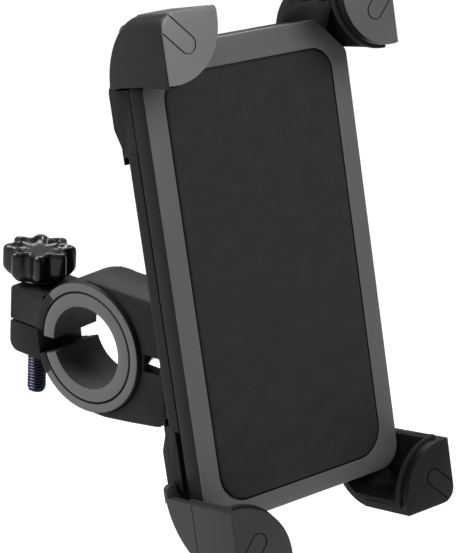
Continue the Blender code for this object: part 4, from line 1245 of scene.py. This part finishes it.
        edge = 0.9
        add(lip, self.front + 0.5)
        add(lip - lipward * 0.15, self.front + 0.15)
        add(lip - lipward * 0.5, self.front)
        for angle in np.radians([0, 25, 50, 70, 90]):
            add(line + normals * edge * (1.0 - math.sin(angle)), self.front + edge * (1.0 - math.cos(angle)))
        if self.corner in (Corner.BL, Corner.BR):
            add(line, 0.45)
            add(line + normals * 0.22, 0.58)
            add(line + normals * 0.22, 0.78)
            add(line, 0.91)
        inner = line + normals * self.wall
        spread = 1.0 - np.cos(np.radians(np.linspace(0.0, 90.0, 20)))
        for share in spread:
            flat = line + (floor - line) * share
            add(flat, self.back_depth(flat, 0.0))
        for share in spread[::-1]:
            flat = inner + (floor - inner) * share
            add(flat, self.back_depth(flat, self.wall))
        add(inner, self.front + self.lip + 0.3)
        add(inner + (lip - inner) * 0.02, self.front + self.lip)
        add(lip - lipward * 0.3, self.front + self.lip)
        add(lip, self.front + self.lip - 0.3)
        skin = Skin()
        skin.grid(self.mirror(np.stack(rows)), wrap_rows=True, wrap_columns=False)
        mesh = self.shop.combine(skin.mesh("claw", self.place, 35.0), (), [self.groove()], 35.0)
        self.add_tongue(mesh)
        lip_painted_tone, wall_painted_tone = self.finishes[self.corner]
        piece = self.shop.add(f"corner_claw_{self.tag}", mesh, self.body, wall_painted_tone, (f"claw_{self.tag}",))
        # Forward faces take the lip's lighter tone and the rest the wall's darker tone: painted light on the
        # lips and painted shade on the walls.
        forward = normals_of(mesh) @ np.array(self.place.turn)[:, 1]
        self.shop.face_finish_and_painted_light(piece, lip_painted_tone, forward < -0.55)

    def groove(self) -> bpy.types.Mesh:
        """Return the cutter of the lip's rounded groove line, which runs in from the corner at 45 degrees."""
        near, far = (31.3, 65.6), (43.3, 77.6)
        outer, inner = (
            np.concatenate([arc(near, radius, 135.0, 315.0, 24), arc(far, radius, -45.0, 135.0, 24)])
            for radius in (2.62, 2.22)
        )
        low, high = self.front - 0.5, self.front + 0.45
        rows = stack([(outer, low), (outer, high), (inner, high), (inner, low)], Plane.XZ)
        return solid("groove", self.mirror(rows), self.place, ring=True)

    def add_tongue(self, mesh: bpy.types.Mesh) -> None:
        """Join the floor's tongue, which runs under the head, to the cup's mesh."""
        corners = [(7.5, 38.6, 0.5), (23.0, 38.6, 1.0), (31.2, 55.0, 0.0), (31.6, 55.3, 0.0)]
        corners += [(34.95, 55.3, 0.0)]
        if self.corner.value[1] < 0:
            corners += [(34.95, 52.6, 0.5), (38.55, 52.6, 1.7), (38.5, 57.6, 0.0)]
        corners += [(35.0, 59.5, 0.0), (30.0, 61.5, 0.0), (24.0, 62.0, 0.0), (18.0, 60.0, 2.0)]
        outline = rounded(corners)
        low, high = self.back - self.wall, self.back
        levels = [(0.4, low + 0.02), (0.1, low + 0.12), (0.0, low + 0.4)]
        levels += [(0.0, high - 0.5), (0.15, high - 0.15), (0.5, high - 0.02)]
        rows = stack([(inset(outline, step), depth) for step, depth in levels], Plane.XZ)
        extra = solid("tongue", self.mirror(rows), self.place, 35.0)
        work = bmesh.new()
        work.from_mesh(mesh)
        work.from_mesh(extra)
        work.to_mesh(mesh)
        work.free()
        bpy.data.meshes.remove(extra)
        tidy(mesh, 35.0)

    def liner(self) -> None:
        """Make the rubber liner: a thin section behind the lip and down both walls."""
        first, second = self.wall + 0.25, self.wall + 1.5
        front = self.front + self.lip + 0.2
        line, normals, fraction = self.path(first)
        thick = line + normals * (second - first)
        lip = self.lip_line(0.9, first, fraction)
        lipward = lip - thick
        lipward /= np.maximum(np.linalg.norm(lipward, axis=1, keepdims=True), 1e-6)
        rows = [
            (lip, front + 0.3),
            (lip - lipward * 0.3, front),
            (line, front),
            (line, 4.8),
            (line + normals * 0.3, 5.0),
            (thick - normals * 0.3, 5.0),
            (thick, 4.7),
            (thick, front + 1.9),
            (thick + (lip - thick) * 0.08, front + 1.4),
            (lip - lipward * 0.3, front + 1.4),
            (lip, front + 1.1),
        ]
        skin = Skin()
        skin.grid(self.mirror(stack(rows, Plane.XZ)), wrap_rows=True, wrap_columns=False)
        name = f"claw_rubber_{self.tag}"
        mesh = skin.mesh(name, self.place, 40.0)
        self.shop.add(name, mesh, self.body, "liner", (f"claw_liner_{self.tag}",))


# ---------------------------------------------------------------- springs and screws


@dataclass
class SmallWorks:
    """The case screws and the two springs."""

    shop: Workshop
    joint: BallJoint
    place: Placement

    def build(self) -> None:
        """Make the small pieces."""
        spots = [(-28.5, 20.0), (28.5, 20.0), (-28.5, -20.0), (28.5, -20.0)]
        for index, (x, z) in enumerate(spots):
            name = f"case_screw_{index + 1}"
            self.joint.screw(f"cover_{name}", (x, 0.0, z), 13.3, 2.8, 1.3, 3.6, 1.4, name, "head")
        self.coil("release_coil", (-18.8, 10.4, 0.0), "X", 1.5, 0.26, -13.0, 6.0, "release_spring")
        self.coil("opening_coil", (0.0, 3.4, 0.0), "Y", 6.2, 0.4, 1.6, 2.5, "opening_spring")

    def coil(
        self, name: str, start: Sequence[float], axis: str, radius: float, wire: float, length: float,
        turns: float, node: str,
    ) -> None:
        """Make a spring: a small circle carried along a helix of the given radius, length and turns."""
        steps = int(turns * 28) + 1
        along = np.linspace(0.0, 1.0, steps)[:, None]
        angle = TAU * turns * along
        round_wire = np.linspace(0.0, TAU, 12, endpoint=False)[None, :]
        reach = radius + wire * np.cos(round_wire)
        rows = polar(reach, angle, length * along + wire * np.sin(round_wire))
        self.shop.add(name, solid(name, aim(rows, start, axis), self.place, 60.0), "head", "zinc", (node,))


# ---------------------------------------------------------------- studio


@dataclass
class Studio:
    """The pale floor, the soft lights and the camera."""

    floor_drop: float = 160.0
    focal: float = 151.55
    eye: tuple[float, float, float] = (-410.3, -350.5, 232.5)
    right: tuple[float, float, float] = (0.61435, -0.78686, 0.05849)
    down: tuple[float, float, float] = (-0.25301, -0.26667, -0.92999)
    forward: tuple[float, float, float] = (0.74737, 0.55654, -0.36291)

    def build(self) -> None:
        """Make the stage."""
        self.floor()
        self.camera()
        self.light("key", (-60.0, -420.0, 430.0), 300.0, 2.4)
        self.light("top", (-250.0, 380.0, 600.0), 340.0, 9.0)
        self.light("back", (300.0, 230.0, 430.0), 260.0, 2.0)
        self.light("left", (-430.0, 320.0, 290.0), 260.0, 0.8)
        self.sky()

    def sky(self) -> None:
        """Set a soft even surround."""
        world = bpy.data.worlds.new("studio")
        bpy.context.scene.world = world
        bpy.context.scene.view_settings.view_transform = "Standard"
        world.use_nodes = True
        background = world.node_tree.nodes["Background"]
        background.inputs["Color"].default_value = (1.0, 1.0, 1.0, 1.0)
        background.inputs["Strength"].default_value = 0.3

    def floor(self) -> None:
        """Lay a wide pale floor below the mount."""
        level = CAD_BOUNDS[0][2] / MM - self.floor_drop
        reach = 6000.0
        corners = np.array([(-reach, -reach), (reach, -reach), (reach, reach), (-reach, reach)])
        mesh = bpy.data.meshes.new("studio_floor")
        mesh.from_pydata(Placement().apply(lift(corners, level, Plane.XY)).tolist(), [], [[0, 1, 2, 3]])
        recipe = Recipe("floor_white")
        tone = recipe.noise(6.0, 2.0)
        colour = recipe.tint(tone, grey(0.2), grey(0.22))
        glow = (1.0, 1.0, 1.0, 1.0)
        mesh.materials.append(
            recipe.finish(Base_Color=colour, Roughness=0.9, Emission_Color=glow, Emission_Strength=0.92)
        )
        floor = bpy.data.objects.new("studio_floor", mesh)
        bpy.context.scene.collection.objects.link(floor)

    def light(self, name: str, place: Sequence[float], size: float, power: float) -> None:
        """Hang a square soft light that faces the head."""
        data = bpy.data.lights.new(name, "AREA")
        data.shape = "SQUARE"
        data.size = size * MM
        data.energy = power
        lamp = bpy.data.objects.new(name, data)
        lamp.location = Vector(place) * MM
        target = Vector((0.0, -40.0, 30.0)) * MM
        lamp.rotation_euler = (target - lamp.location).to_track_quat("-Z", "Y").to_euler()
        bpy.context.scene.collection.objects.link(lamp)

    def camera(self) -> None:
        """Set the camera from its place and its three axes."""
        data = bpy.data.cameras.new("camera")
        data.sensor_fit = "HORIZONTAL"
        data.sensor_width = 36.0
        data.lens = self.focal
        data.clip_start = 0.01
        eye = bpy.data.objects.new("camera", data)
        right, down, forward = (Vector(axis).normalized() for axis in (self.right, self.down, self.forward))
        turn = Matrix((right, -down, -forward)).transposed().to_4x4()
        eye.matrix_world = Matrix.Translation(Vector(self.eye) * MM) @ turn
        bpy.context.scene.collection.objects.link(eye)
        bpy.context.scene.camera = eye


def main() -> None:
    logging.basicConfig(level=logging.INFO, format="%(message)s")
    head = head_placement()
    shop = Workshop()
    Studio().build()
    BarClamp(shop).build()
    joint = BallJoint(shop, head)
    joint.build()
    PhoneHead(shop, head).build()
    for corner in Corner:
        CornerClaw(shop, head, corner).build()
    SmallWorks(shop, joint, head).build()


if __name__ == "__main__":
    main()
